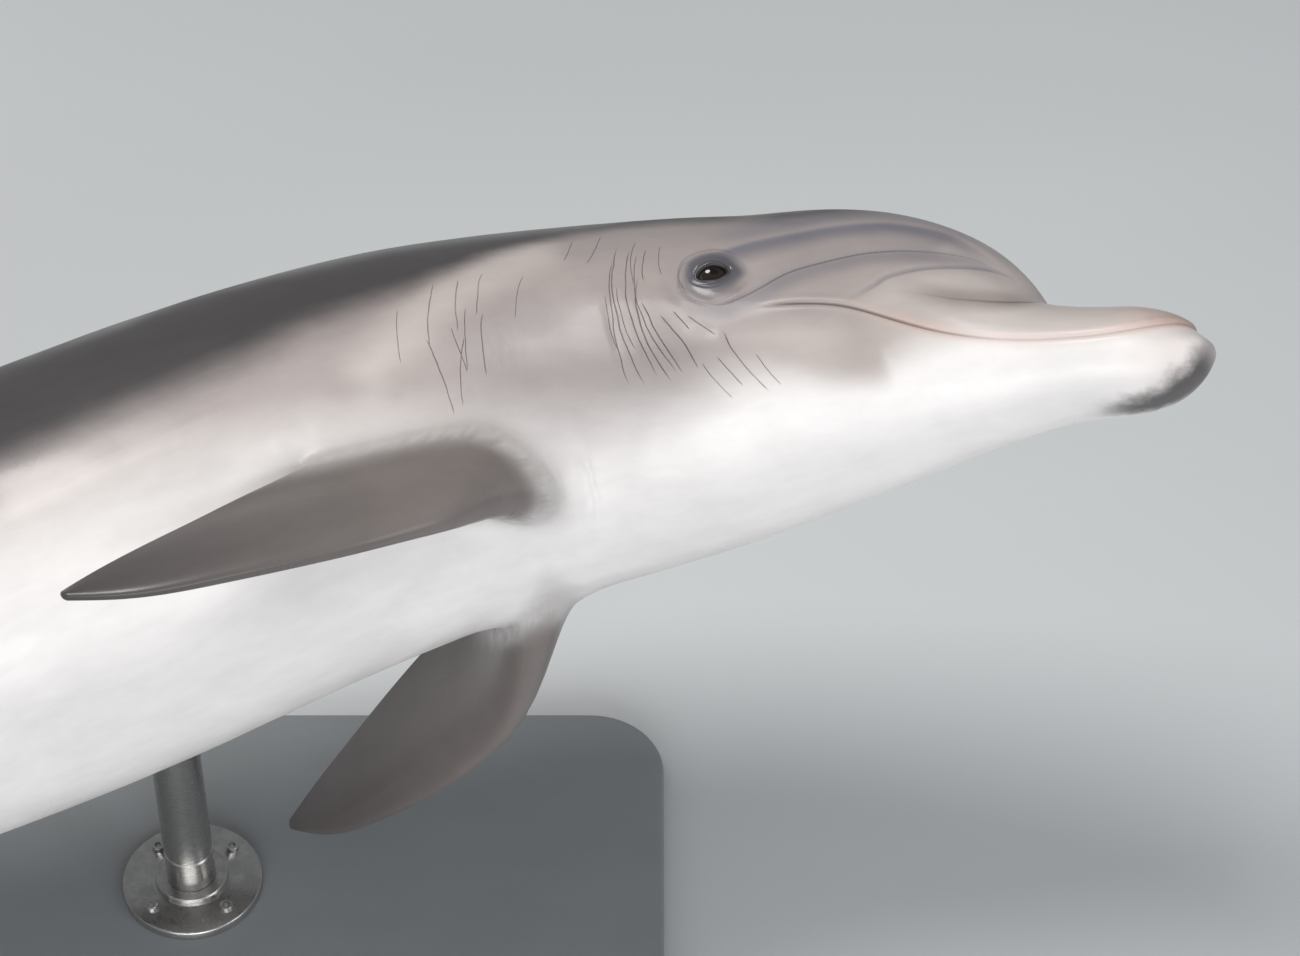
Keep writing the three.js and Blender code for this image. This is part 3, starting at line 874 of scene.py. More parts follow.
def raise_relief(bm, folds, sizes):
    """Moves the skin along its normals by its relief, and closes its seam along the belly."""
    heights = {}
    for vert in bm.verts:
        fold = folds.get(vert, 0)
        if fold is not None:
            heights[vert] = fold + relief(vert.co, sizes)
    welds = bmesh.ops.find_doubles(bm, verts=bm.verts, dist=1e-3)["targetmap"]
    normals = {vert: vert.normal.copy() for vert in bm.verts}
    for source, target in welds.items():
        normals[target] += source.normal
    for vert, height in heights.items():
        target = welds.get(vert, vert)
        vert.co += normals[target].normalized() * heights.get(target, height)
    bmesh.ops.weld_verts(bm, targetmap=welds)
    bmesh.ops.recalc_face_normals(bm, faces=bm.faces)


def body_skin(sizes):
    """The skin of the whole body without its fins, in the straight animal."""
    bm = body_chart(sizes)
    tag = bm.verts.layers.float.new("cup")
    for row in (EYE_ROW, 1 - EYE_ROW):
        open_eye(bm, row, sizes, tag)
    folds = wrap_chart(bm, sizes, tag)
    turn_outwards(bm)
    raise_relief(bm, folds, sizes)
    return bm


# ---------------------------------------------------------------- fins


def foil(share):
    """Half-thickness of a rounded foil, as a share of its full thickness."""
    return (1.4845 * sqrt(share) - 0.63 * share - 1.758 * share ** 2
            + 1.4215 * share ** 3 - 0.518 * share ** 4)


def fin_skin(fin, reaches, place):
    """A closed fin from sections at shares of its span, closed to a point at both ends."""
    points = 60
    leading = smooth_curve(fin["leading"])
    chord = smooth_curve(fin["chord"])
    thickness = smooth_curve(fin["thickness"])
    steps = len(reaches) + 1

    def at(step, share):
        ring = min(max(step - 1, 0), len(reaches) - 1)
        reach, scale = reaches[ring]
        if step in (0, steps):
            scale = 0
        size = abs(reach)
        angle = (share + 0.5 / points) * 2 * pi
        along = 0.5 - 0.5 * cos(angle) * scale
        half = (foil(0.5 - 0.5 * cos(angle)) * thickness(size) + FIN_EDGE) * scale
        side = 1 if sin(angle) > 0 else -1
        return place(reach, leading(size) + along * chord(size), side * half)

    return tube(steps, points, at)


def fin_reaches(start, steps):
    """Shares of the span with their sections' scales, from a root to a tip that is rounded off."""
    reaches = [(start + (FIN_TIP - start) * sin(i / steps * pi / 2), 1.0) for i in range(steps)]
    tip_rounds = 5
    for i in range(tip_rounds):
        angle = i / tip_rounds * pi / 2
        reaches.append((FIN_TIP + TIP_ROUND * sin(angle), cos(angle)))
    return reaches


def dorsal_fin():
    def place(reach, along, across):
        return Vector((DORSAL["base"] + along, -across, DORSAL["foot"] + reach * DORSAL["height"]))

    return fin_skin(DORSAL, fin_reaches(DORSAL["from"], 36), place)


def flukes():
    half = fin_reaches(0, 40)
    reaches = [(-reach, scale) for reach, scale in reversed(half[1:])] + half

    def place(reach, along, across):
        return Vector((along, reach * FLUKES["span"], across))

    return fin_skin(FLUKES, reaches, place)


def flipper(hand):
    aft, out, down, cant = FLIPPER_LAY[hand]
    span = Vector((aft, out, -down)).normalized()
    outward = (Vector((0, 1, 0)) - span * span.y).normalized()
    upward = span.cross(outward).normalized()
    face = outward * cos(radians(cant)) + upward * sin(radians(cant))
    chord_way = span.cross(face).normalized()
    root = FLIPPER["root"]
    inward = Vector((0, -root.y, -root.z)).normalized()

    def place(reach, along, across):
        tuck = FLIPPER["tuck"] * max(0, 1 - reach / FLIPPER["tuck_reach"]) ** 2
        point = root + span * reach * FLIPPER["length"] + chord_way * along
        point += face * hand * across + inward * tuck
        return Vector((point.x, hand * point.y, point.z))

    return fin_skin(FLIPPER, fin_reaches(FLIPPER["from"], 36), place)


def surface_tree(pieces):
    """Finds the nearest point on the faces of some pieces."""
    bm = bmesh.new()
    for piece in pieces:
        bm.from_mesh(piece.data)
    tree = BVHTree.FromBMesh(bm)
    bm.free()
    return tree


def united(body, fins):
    """The body and its fins as one closed mesh."""
    gathered = bpy.data.collections.new("fins")
    for fin in fins:
        gathered.objects.link(fin)
    union = body.modifiers.new("union", "BOOLEAN")
    union.operation = "UNION"
    union.solver = "MANIFOLD"
    union.operand_type = "COLLECTION"
    union.collection = gathered
    depsgraph = bpy.context.evaluated_depsgraph_get()
    mesh = bpy.data.meshes.new_from_object(body.evaluated_get(depsgraph), depsgraph=depsgraph)
    for piece in [body, *fins]:
        bpy.data.objects.remove(piece)
    bpy.data.collections.remove(gathered)
    return mesh


def fillet_roots(bm, body_tree, fin_tree, fillet):
    """Rounds the hollows where the fins leave the body. Returns how far each point is out on a fin, which
    is less than nothing on the body."""
    on_fin = {}
    near_root = {}
    for vert in bm.verts:
        _, body_normal, _, body_gap = body_tree.find_nearest(vert.co)
        _, fin_normal, _, fin_gap = fin_tree.find_nearest(vert.co)
        on_fin[vert] = body_gap - fin_gap
        gap = max(body_gap, fin_gap)
        if vert.co.x < FIN_START or gap >= fillet:
            continue
        near = (fillet - gap) / fillet
        near_root[vert] = near
        meeting = body_normal.dot(fin_normal)
        amount = min(1, 1.2 * (1 - meeting)) * ease(meeting, -0.6, 0.1)
        own, other = (body_normal, fin_normal) if fin_gap > body_gap else (fin_normal, body_normal)
        slope = own * (1 - near / 2) + other * (near / 2)
        vert.co += slope * (amount * near * near * fillet / 4 / max(slope.length_squared, 0.4))
    for _ in range(14):
        moves = {}
        for vert, near in near_root.items():
            around = [edge.other_vert(vert).co for edge in vert.link_edges]
            middle = sum(around, Vector()) / len(around)
            moves[vert] = (middle - vert.co) * (0.6 * ease(near, 0.35, 0.9))
        for vert, move in moves.items():
            vert.co += move
    return on_fin


# Where the colours of the skin change, as heights along the straight animal.
cape_line = smooth_curve((
    (15, 60), (110, 62), (180, 98), (230, 101), (334, 97), (398, 90), (448, 74), (502, 55), (562, 28),
    (616, 16), (700, 3), (780, -1), (900, 2), (1050, 8), (1200, 8), (1350, 0), (1550, -18), (1800, -34),
    (2130, -52),
))
pale_line = smooth_curve((
    (15, -8), (90, -19), (150, -14), (185, -6), (200, -3), (212, -8), (221, -20), (229, -33), (238, -44),
    (250, -49), (280, -47), (300, -43), (330, -43), (367, -54), (408, -68), (450, -83), (520, -93),
    (600, -84), (700, -62), (850, -50), (1050, -48), (1240, -53), (1440, -60), (1650, -70), (1850, -84),
    (2200, -92),
))
PALE_LEAN = 0.63  # the pale underside's edge leans forward by this much as it goes down


def pale_share(point):
    """How far a point is inside the pale underside: -1 and 1 are the two sides of its soft edge."""
    edge = pale_line(point.x - PALE_LEAN * (point.z + 8)) - point.z
    jaw = max((203 - point.x) / 2.2 - 31, -40) - point.z
    return min(edge / lerp(7, 42, ease(point.x, 150, 500)), jaw / 17)


def write_number(mesh, name, values):
    mesh.attributes.new(name, "FLOAT", "POINT").data.foreach_set("value", values)


def write_vector(mesh, name, values):
    flat = [part for value in values for part in value]
    mesh.attributes.new(name, "FLOAT_VECTOR", "POINT").data.foreach_set("vector", flat)


def write_marks(mesh, on_fin, sizes):
    """Attributes that the skin's material reads, in metres: the straight animal's coordinates, heights
    above the cape's edge and the lips, the place in the pale underside, the share of fin, and the
    distance across and the share along each line of the face."""
    points = [vert.co.copy() for vert in mesh.vertices]
    write_vector(mesh, "rest", [point * MM for point in points])
    write_number(mesh, "cape", [(point.z - cape_line(point.x)) * MM for point in points])
    write_number(mesh, "pale", [pale_share(point) for point in points])
    write_number(mesh, "lips", [(point.z - lip_line(point.x)) * MM for point in points])
    write_number(mesh, "fin", [ease(reach, -45, 50) for reach in on_fin])
    edge = opening_edge(sizes)
    rims = [edge.find((point.x, abs(point.y), point.z))[2] if point.x < 400 else 99 for point in points]
    write_number(mesh, "rim", [gap * MM for gap in rims])
    for name in FACE_LINES:
        line = face_line(name)
        marks = []
        for point in points:
            if point.x < FACE_REAR:
                across, along, gap = line.place(point)
                marks.append((across * MM, along, gap * MM))
            else:
                marks.append((1, 0, 1))
        write_vector(mesh, name, marks)


def make_skin(sizes):
    body = mesh_object(body_skin(sizes), "body")
    fins = [
        mesh_object(dorsal_fin(), "dorsal"),
        mesh_object(flukes(), "flukes"),
        mesh_object(flipper(1), "flipper_r"),
        mesh_object(flipper(-1), "flipper_l"),
    ]
    body_tree = surface_tree([body])
    fin_tree = surface_tree(fins)
    mesh = united(body, fins)
    bm = bmesh.new()
    bm.from_mesh(mesh)
    bmesh.ops.dissolve_degenerate(bm, edges=bm.edges, dist=0.02)
    bm.normal_update()
    on_fin = fillet_roots(bm, body_tree, fin_tree, sizes.fillet / MM)
    bm.verts.index_update()
    reach = [on_fin[vert] for vert in bm.verts]
    bm.to_mesh(mesh)
    bm.free()
    mesh.name = "skin"
    write_marks(mesh, reach, sizes)
    for vert in mesh.vertices:
        vert.co = pose(vert.co)
    mesh.update()
    piece = linked("skin", mesh)
    smooth_shading(piece)
    return piece


# ---------------------------------------------------------------- nodes

class Nodes:
    """Adds nodes to a tree and links them."""

    def __init__(self, tree):
        self.tree = tree

    def feed(self, socket, value):
        if isinstance(value, bpy.types.NodeSocket):
            self.tree.links.new(value, socket)
        elif socket.type == "RGBA" and len(value) == 3:
            socket.default_value = (*value, 1)
        else:
            socket.default_value = value

    def add(self, kind, settings=None, **inputs):
        node = self.tree.nodes.new(kind)
        for name, value in (settings or {}).items():
            setattr(node, name, value)
        for name, value in inputs.items():
            self.feed(node.inputs[name.replace("_", " ")], value)
        return node

    def add_fed(self, kind, settings, values):
        """Adds a node and feeds its sockets in their order."""
        node = self.add(kind, settings)
        for socket, value in zip(node.inputs, values):
            self.feed(socket, value)
        return node.outputs

    def math(self, operation, *values):
        return self.add_fed("ShaderNodeMath", {"operation": operation}, values)[0]

    def times(self, *factors):
        return reduce(lambda product, factor: self.math("MULTIPLY", product, factor), factors)

    def plus(self, *terms):
        return reduce(lambda total, term: self.math("ADD", total, term), terms)

    def minus(self, value, less):
        return self.math("SUBTRACT", value, less)

    def most(self, *values):
        return reduce(lambda most, value: self.math("MAXIMUM", most, value), values)

    def distance(self, value, place=0.0):
        """How far a value is from a place, never below nothing."""
        return self.math("ABSOLUTE", self.minus(value, place))

    def vector(self, operation, *values):
        outputs = self.add_fed("ShaderNodeVectorMath", {"operation": operation}, values)
        return outputs["Value" if operation in ("DOT_PRODUCT", "LENGTH") else "Vector"]

    def ease(self, value, start, end, low=0.0, high=1.0):
        settings = {"interpolation_type": "SMOOTHSTEP"}
        return self.add_fed("ShaderNodeMapRange", settings, (value, start, end, low, high))[0]

    def mix(self, factor, first, second, blend_type="MIX"):
        node = self.add("ShaderNodeMix", {"data_type": "RGBA", "blend_type": blend_type})
        self.feed(node.inputs["Factor"], factor)
        colours = [socket for socket in node.inputs if socket.type == "RGBA"]
        self.feed(colours[0], first)
        self.feed(colours[1], second)
        return [socket for socket in node.outputs if socket.type == "RGBA"][0]

    def noise(self, place, scale, detail=2.0, roughness=0.5, distortion=0.0):
        node = self.add("ShaderNodeTexNoise", Vector=place, Scale=scale, Detail=detail,
                        Roughness=roughness, Distortion=distortion)
        return node.outputs[0]

    def attribute(self, name):
        node = self.add("ShaderNodeAttribute", {"attribute_name": name})
        return node.outputs

    def parts(self, vector):
        return self.add("ShaderNodeSeparateXYZ", Vector=vector).outputs

    def marks(self, name):
        """The distance across, the share along and the gap to a line of the face."""
        return self.parts(self.attribute(name)["Vector"])

    def joined(self, x, y, z):
        return self.add("ShaderNodeCombineXYZ", X=x, Y=y, Z=z).outputs[0]

    def group(self, tree, **inputs):
        node = self.add("ShaderNodeGroup", {"node_tree": tree})
        for name, value in inputs.items():
            self.feed(node.inputs[name.replace("_", " ")], value)
        return node.outputs


def new_group(name, inputs, outputs):
    """An empty node group with its sockets, its input sockets and its output node."""
    tree = bpy.data.node_groups.new(name, "ShaderNodeTree")
    for socket_name, kind, default in inputs:
        socket = tree.interface.new_socket(socket_name, in_out="INPUT", socket_type=kind)
        socket.default_value = default
    for socket_name in outputs:
        tree.interface.new_socket(socket_name, in_out="OUTPUT", socket_type="NodeSocketFloat")
    nodes = Nodes(tree)
    return tree, nodes, nodes.add("NodeGroupInput").outputs, nodes.add("NodeGroupOutput").inputs


def crease_group():
    """A thin bowed crease on the side, fading at both ends. Along and Across are the crease's own axes:
    the first gives the share of its length, the second the distance off it."""
    tree, nodes, given, made = new_group("crease", (
        ("Place", "NodeSocketVector", (0, 0, 0)),
        ("Along", "NodeSocketVector", (1, 0, 0)),
        ("Across", "NodeSocketVector", (0, 1, 0)),
        ("Bow", "NodeSocketFloat", 0),
        ("Width", "NodeSocketFloat", 0.001),
    ), ("Mask",))
    along = nodes.vector("DOT_PRODUCT", given["Place"], given["Along"])
    from_ends = nodes.times(along, nodes.minus(1.0, along))
    across = nodes.vector("DOT_PRODUCT", given["Place"], given["Across"])
    bowed = nodes.math("ABSOLUTE", nodes.math("MULTIPLY_ADD", from_ends, given["Bow"], across))
    line = nodes.ease(bowed, 0.0, given["Width"], 1.0, 0.0)
    nodes.feed(made["Mask"], nodes.times(line, nodes.ease(from_ends, 0.0, 0.12)))
    return tree


def line_group():
    """A line of a given width round a signed distance, shown between two shares of its length."""
    tree, nodes, given, made = new_group("line", (
        ("Mark", "NodeSocketVector", (1, 0, 0)),
        ("Width", "NodeSocketFloat", 0.001),
        ("Offset", "NodeSocketFloat", 0.0),
        ("Softness", "NodeSocketFloat", 1.0),
        ("Fade In", "NodeSocketFloat", 0.1),
        ("Fade Out", "NodeSocketFloat", 0.8),
    ), ("Mask",))
    mark = nodes.parts(given["Mark"])
    share = nodes.math("DIVIDE", nodes.distance(mark["X"], given["Offset"]), given["Width"])
    line = nodes.ease(share, nodes.minus(1.0, given["Softness"]), 1.0, 1.0, 0.0)
    starts = nodes.ease(mark["Y"], 0.0, given["Fade In"])
    ends = nodes.ease(mark["Y"], given["Fade Out"], 1.0, 1.0, 0.0)
    near = nodes.ease(mark["Z"], 0.04, 0.06, 1.0, 0.0)
    nodes.feed(made["Mask"], nodes.times(line, starts, ends, near))
    return tree


def mottle_group():
    """Uneven tone in blotches and streaks, and the height of a fine grain."""
    tree, nodes, given, made = new_group("mottle", (
        ("Place", "NodeSocketVector", (0, 0, 0)),
        ("Blotch", "NodeSocketFloat", 8.0),
        ("Grain", "NodeSocketFloat", 700.0),
    ), ("Tone", "Height"))
    streaky = nodes.vector("MULTIPLY", given["Place"], (0.35, 1.0, 1.0))
    blotch = nodes.noise(given["Place"], given["Blotch"], 4.0, 0.6, 0.4)
    streak = nodes.noise(streaky, nodes.times(given["Blotch"], 9.0), 3.0, 0.6)
    grain = nodes.noise(given["Place"], given["Grain"], 2.0, 0.6)
    slow = nodes.noise(given["Place"], nodes.times(given["Grain"], 0.22), 2.0, 0.5)
    nodes.feed(made["Tone"], nodes.plus(nodes.times(blotch, 0.65), nodes.times(streak, 0.35)))
    nodes.feed(made["Height"], nodes.plus(nodes.times(grain, 0.4), nodes.times(slow, 0.6)))
    return tree


def patch_group():
    """A soft round patch."""
    tree, nodes, given, made = new_group("patch", (
        ("Place", "NodeSocketVector", (0, 0, 0)),
        ("Centre", "NodeSocketVector", (0, 0, 0)),
        ("Size", "NodeSocketVector", (1, 1, 1)),
    ), ("Mask",))
    away = nodes.vector("DIVIDE", nodes.vector("SUBTRACT", given["Place"], given["Centre"]), given["Size"])
    nodes.feed(made["Mask"], nodes.ease(nodes.vector("LENGTH", away), 1.0, 0.0))
    return tree


def group_named(name):
    makers = {"crease": crease_group, "line": line_group, "mottle": mottle_group, "patch": patch_group}
    return bpy.data.node_groups.get(name) or makers[name]()


def new_material(name, **sockets):
    """A material with a Principled shader whose plain sockets are set."""
    material = bpy.data.materials.new(name)
    material.use_nodes = True
    shader = material.node_tree.nodes["Principled BSDF"]
    for socket, value in sockets.items():
        shader.inputs[socket.replace("_", " ")].default_value = value
    return material, Nodes(material.node_tree), shader.inputs


def bump(nodes, height, below=None):
    """Relief whose height is in millimetres, on top of any relief below it."""
    node = nodes.add("ShaderNodeBump", Strength=1.0, Distance=MM, Height=height)
    if below:
        nodes.feed(node.inputs["Normal"], below)
    return node.outputs[0]


# ---------------------------------------------------------------- the skin's material

def skin_places(nodes):
    """The straight animal's coordinates, and the side's coordinates with the left side shifted."""
    rest = nodes.attribute("rest")["Vector"]
    parts = nodes.parts(rest)
    left_shift = nodes.ease(parts["Y"], 0.002, -0.002, 0.0, 0.004)
    wave = nodes.times(nodes.minus(nodes.noise(rest, 38.0, 2.0), 0.5), 0.004)
    return rest, parts, nodes.joined(nodes.plus(parts["X"], left_shift, wave), parts["Z"], 1.0)


def crease_masks(nodes, side, creases):
    """All creases of a list as one mask. side is (aft, up, 1), in metres."""
    masks = []
    for start, end, bow, width in creases:
        way = Vector(end) - Vector(start)
        along = way / way.length_squared / MM
        across = Vector((-way.y, way.x)) / way.length
        mask = nodes.group(
            group_named("crease"), Place=side, Bow=-4 * bow * MM, Width=0.8 * width * MM,
            Along=(along.x, along.y, -along.dot(Vector(start)) * MM),
            Across=(across.x, across.y, -across.dot(Vector(start)) * MM),
        )["Mask"]
        masks.append(mask)
    return nodes.most(*masks)


def base_tones(nodes, rest, parts, colours):
    """The large fields of colour: flank, muzzle, underside, back and fins, with painted sheens and painted
    shade on the head and neck.
    """
    aft, up = parts["X"], parts["Z"]
    rough = nodes.minus(nodes.noise(nodes.vector("MULTIPLY", rest, (0.4, 1, 1)), 26.0, 5.0, 0.65), 0.5)
    slow = nodes.minus(nodes.noise(rest, 6.0, 3.0, 0.55), 0.5)

    def frayed(name, rough_share, slow_share):
        """How far inside a field of colour a place is, with an uneven edge."""
        uneven = nodes.plus(nodes.times(rough, rough_share), nodes.times(slow, slow_share))
        return nodes.plus(nodes.attribute(name)["Fac"], uneven)

    cape = frayed("cape", 0.018, 0.03)
    pale = frayed("pale", 0.45, 0.6)
    # Under the cape's edge the skin takes the upper flank's colour; the lower neck takes it too, as painted
    # shade.
    under_cape = nodes.times(nodes.ease(cape, -0.07, 0.0), nodes.ease(aft, 0.36, 0.5, 1.0, 0.2))
    neck = nodes.times(nodes.ease(aft, 0.3, 0.37), nodes.ease(aft, 0.57, 0.48), nodes.ease(up, 0.03, -0.03))
    colour = nodes.mix(nodes.most(under_cape, neck), colours.cheek, colours.flank)
    # Painted sheens lighten the shoulder and the forehead toward the muzzle's colour; the lower cheek is
    # lighter as well.
    painted_sheen = nodes.times(crease_masks(nodes, nodes.joined(aft, up, 1.0), GLEAMS), 0.55)
    cheek = nodes.times(nodes.ease(aft, 0.33, 0.27), nodes.ease(up, 0.0, -0.02), 0.5)
    colour = nodes.mix(nodes.most(painted_sheen, cheek), colour, colours.muzzle)
    side = nodes.joined(aft, 0.0, up)
    # Painted shade under and behind the eye and on the cheek, in the shadow colour.
    for patch_aft, patch_up, length, height, amount in SHADES:
        mask = nodes.group(group_named("patch"), Place=side, Centre=(patch_aft * MM, 0, patch_up * MM),
                           Size=(length * MM, 1, height * MM))["Mask"]
        colour = nodes.mix(nodes.times(mask, amount), colour, colours.shadow)
    muzzle = nodes.times(nodes.ease(aft, 0.25, 0.13), nodes.ease(up, 0.06, 0.0))
    colour = nodes.mix(muzzle, colour, colours.muzzle)
    colour = nodes.mix(nodes.ease(pale, -1.0, 1.0), colour, colours.pale)
    softness = nodes.ease(aft, 0.48, 0.64, 0.013, 0.026)
    colour = nodes.mix(nodes.ease(cape, nodes.times(softness, -1.0), softness), colour, colours.cape)
    fin_colour = nodes.mix(nodes.ease(aft, 0.56, 0.92), colours.fin, colours.cape)
    on_fin = nodes.math("MULTIPLY_ADD", rough, 0.22, nodes.attribute("fin")["Fac"])
    return nodes.mix(nodes.ease(on_fin, 0.1, 0.85), colour, fin_colour)


def line_mask(nodes, name, width, offset, fades, softness=1.0):
    """A band beside a line of the face. fades are the shares of its length where it comes and goes."""
    return nodes.group(group_named("line"), Mark=nodes.attribute(name)["Vector"], Width=width,
                       Offset=offset, Softness=softness, Fade_In=fades[0], Fade_Out=fades[1])["Mask"]


def face_marks(nodes, colour, colours):
    """The bands, folds and lids of the face, with painted shade before the forehead, under the bridle's fold
    and round the lid patch. Returns the colour and how much glossier the lids are.
    """
    brow = nodes.marks("brow")
    band = nodes.times(
        nodes.ease(brow["X"], 0.003, -0.003), nodes.ease(brow["X"], -0.026, -0.004),
        nodes.ease(brow["Y"], 0.0, 0.08), nodes.ease(brow["Y"], 0.97, 0.6),
        nodes.ease(brow["Z"], 0.05, 0.03), 0.8,
    )
    colour = nodes.mix(band, colour, colours.band)
    # Tints beside the lines. The pout tint is painted shade before the forehead; the bridle tint is partly
    # the face's own band, partly painted shade under its fold.
    for name, tint, amount, width, offset, fades in (
        ("brow", colours.band, 0.4, 0.022, 0.016, (0.2, 0.5)),
        ("bridle", colours.band, 0.5, 0.014, -0.004, (0.3, 0.7)),
        ("cheek_fold", colours.muzzle, 0.4, 0.02, -0.012, (0.25, 0.6)),
        ("cheek_fold", colours.band, 0.45, 0.0035, 0.001, (0.3, 0.8)),
        ("pout", colours.shadow, 0.6, 0.015, 0.001, (0.45, 0.75)),
    ):
        colour = nodes.mix(nodes.times(line_mask(nodes, name, width, offset, fades), amount), colour, tint)
    lid = nodes.marks("lid_patch")["X"]
    patch = nodes.ease(lid, 0.0005, -0.0065)
    edge = nodes.attribute("rim")["Fac"]
    rim = nodes.ease(edge, 0.0024, 0.001)
    # A soft painted shade round the lid patch, standing in for the brow's shading.
    colour = nodes.mix(nodes.ease(lid, 0.006, -0.008, 0.0, 0.45), colour, colours.band)
    colour = nodes.mix(nodes.times(patch, 0.9), colour, colours.lid)
    colour = nodes.mix(nodes.ease(edge, 0.01, 0.001, 0.0, 0.5), colour, colours.lid_dark)
    colour = nodes.mix(nodes.times(rim, 0.85), colour, colours.rim)
    return colour, nodes.minus(patch, nodes.times(rim, 1.3))


def thin_lines(nodes, aft):
    """The fine dark lines of the face as one mask: partly the face's own dark lines, partly painted shade in
    its folds.
    """
    bridle = line_mask(nodes, "bridle", 0.0012, 0.0, (0.1, 0.55), 0.9)
    pout = line_mask(nodes, "pout", 0.0016, 0.0, (0.8, 0.9))
    fold = line_mask(nodes, "cheek_fold", 0.0011, 0.0, (0.5, 0.8))
    ring_off = nodes.distance(nodes.marks("lid_patch")["X"], 0.0028)
    ring = nodes.times(nodes.ease(ring_off, 0.0001, 0.001, 0.36, 0.0), nodes.ease(aft, 0.308, 0.328))
    return nodes.most(nodes.times(bridle, 0.68), ring, nodes.times(pout, 0.6), nodes.times(fold, 0.3))


def mouth_line(nodes, aft):
    """The brown line of the closed mouth, partly painted shade in its groove, and a wider warm tint along
    the lips.
    """
    lips = nodes.math("ABSOLUTE", nodes.attribute("lips")["Fac"])
    thin = nodes.times(
        nodes.ease(lips, 0.0003, 0.0014, 1.0, 0.0), nodes.ease(aft, 0.3, 0.276), nodes.ease(aft, -0.01, 0.0),
        nodes.ease(aft, 0.13, 0.22, 0.22, 1.0),
    )
    return thin, nodes.times(nodes.ease(lips, 0.001, 0.009, 1.0, 0.0), nodes.ease(aft, 0.26, 0.2))


def tip_tints(nodes, colour, rest, parts, colours):
    """Pinkish wear on both jaws' tips, and a grey mark under the chin's tip, partly its own colour and
    partly painted shade.
    """
    uneven = nodes.minus(nodes.noise(rest, 60.0, 4.0, 0.6), 0.5)
    reach = nodes.plus(parts["X"], nodes.times(uneven, 0.03))
    above = nodes.ease(nodes.attribute("lips")["Fac"], -0.002, 0.003)
    blush = nodes.times(nodes.ease(reach, 0.085, 0.012), nodes.math("MULTIPLY_ADD", above, 0.4, 0.2))
    colour = nodes.mix(blush, colour, colours.blush)
    worn = nodes.times(nodes.ease(reach, 0.05, 0.01), above, 0.35)
    colour = nodes.mix(worn, colour, colours.shadow)
    width = nodes.math("MULTIPLY_ADD", parts["X"], 0.16, nodes.math("ABSOLUTE", parts["Y"]))
    width = nodes.math("MULTIPLY_ADD", uneven, 0.022, width)
    # Grey under the chin's tip: partly its own colour, partly painted shade.
    chin = nodes.times(nodes.ease(width, 0.031, 0.011), nodes.ease(parts["Z"], -0.012, -0.042),
                       nodes.ease(parts["X"], 0.1, 0.055), 0.92)
    return nodes.mix(chin, colour, colours.smudge_and_shade)


def skin_material(colours):
    material, nodes, shader = new_material("wet_skin", Coat_Roughness=0.12, Specular_IOR_Level=0.35)
    rest, parts, side = skin_places(nodes)
    mottle = nodes.group(group_named("mottle"), Place=rest, Blotch=7.0, Grain=620.0)
    colour = base_tones(nodes, rest, parts, colours)
    colour, gloss = face_marks(nodes, colour, colours)
    colour = tip_tints(nodes, colour, rest, parts, colours)
    tone = nodes.ease(mottle["Tone"], 0.25, 0.75, 0.9, 1.08)
    colour = nodes.mix(1.0, colour, nodes.joined(tone, tone, tone), "MULTIPLY")
    mouth, tint = mouth_line(nodes, parts["X"])
    colour = nodes.mix(nodes.times(tint, 0.4), colour, colours.blush)
    # Painted shade in the creases, with the tooth rakes' own dark marks; all are drawn in the lines' colour.
    creases = crease_masks(nodes, side, CREASES)
    rakes = crease_masks(nodes, side, RAKES)
    # Uneven strength along the creases and rakes, from noise.
    worn = nodes.ease(nodes.noise(side, 70.0, 2.0), 0.3, 0.65, 0.35, 0.85)
    cuts = nodes.times(nodes.most(creases, nodes.times(rakes, 0.8)), worn)
    lines = nodes.most(thin_lines(nodes, parts["X"]), nodes.times(mouth, 0.9), cuts)
    nodes.feed(shader["Base Color"], nodes.mix(nodes.times(lines, 0.8), colour, colours.line))
    wet = nodes.noise(rest, 9.0, 3.0, 0.6)
    roughness = nodes.minus(nodes.ease(wet, 0.3, 0.7, 0.27, 0.42), nodes.times(gloss, 0.08))
    nodes.feed(shader["Roughness"], roughness)
    coat = nodes.plus(nodes.ease(wet, 0.65, 0.35, 0.03, 0.16), nodes.times(gloss, 0.2))
    nodes.feed(shader["Coat Weight"], nodes.most(coat, 0.0))
    normal = bump(nodes, nodes.times(mottle["Height"], 0.12))
    for cut in (creases, rakes):
        normal = bump(nodes, nodes.times(cut, -0.5), normal)
    nodes.feed(shader["Normal"], normal)
    return material


# ---------------------------------------------------------------- the eyes

def make_eye(hand, sizes):
    """An eyeball with a bulging cornea, and an attribute with its own coordinates for the iris."""
    centre, outward = eye_seat(hand)
    bm = bmesh.new()
    bmesh.ops.create_uvsphere(bm, u_segments=48, v_segments=40, radius=EYE_RADIUS)
    upward = (Vector((0, 0, 1)) - outward * outward.z).normalized()
    sideways = upward.cross(outward) * hand
    turn = Matrix((sideways, upward, outward)).transposed()
    gaze = []
    for vert in bm.verts:
        local = vert.co.copy()
        gaze.append(local / EYE_RADIUS)
        off_axis = hypot(local.x, local.y)
        if local.z > 0:
            local *= 1 + sizes.cornea / MM / EYE_RADIUS * (1 - ease(off_axis, 4, 9.5))
        vert.co = pose(centre + turn @ local)
    bmesh.ops.recalc_face_normals(bm, faces=bm.faces)
    piece = mesh_object(bm, "eyeball_right" if hand > 0 else "eyeball_left")
    write_vector(piece.data, "gaze", gaze)
    smooth_shading(piece)
    return piece


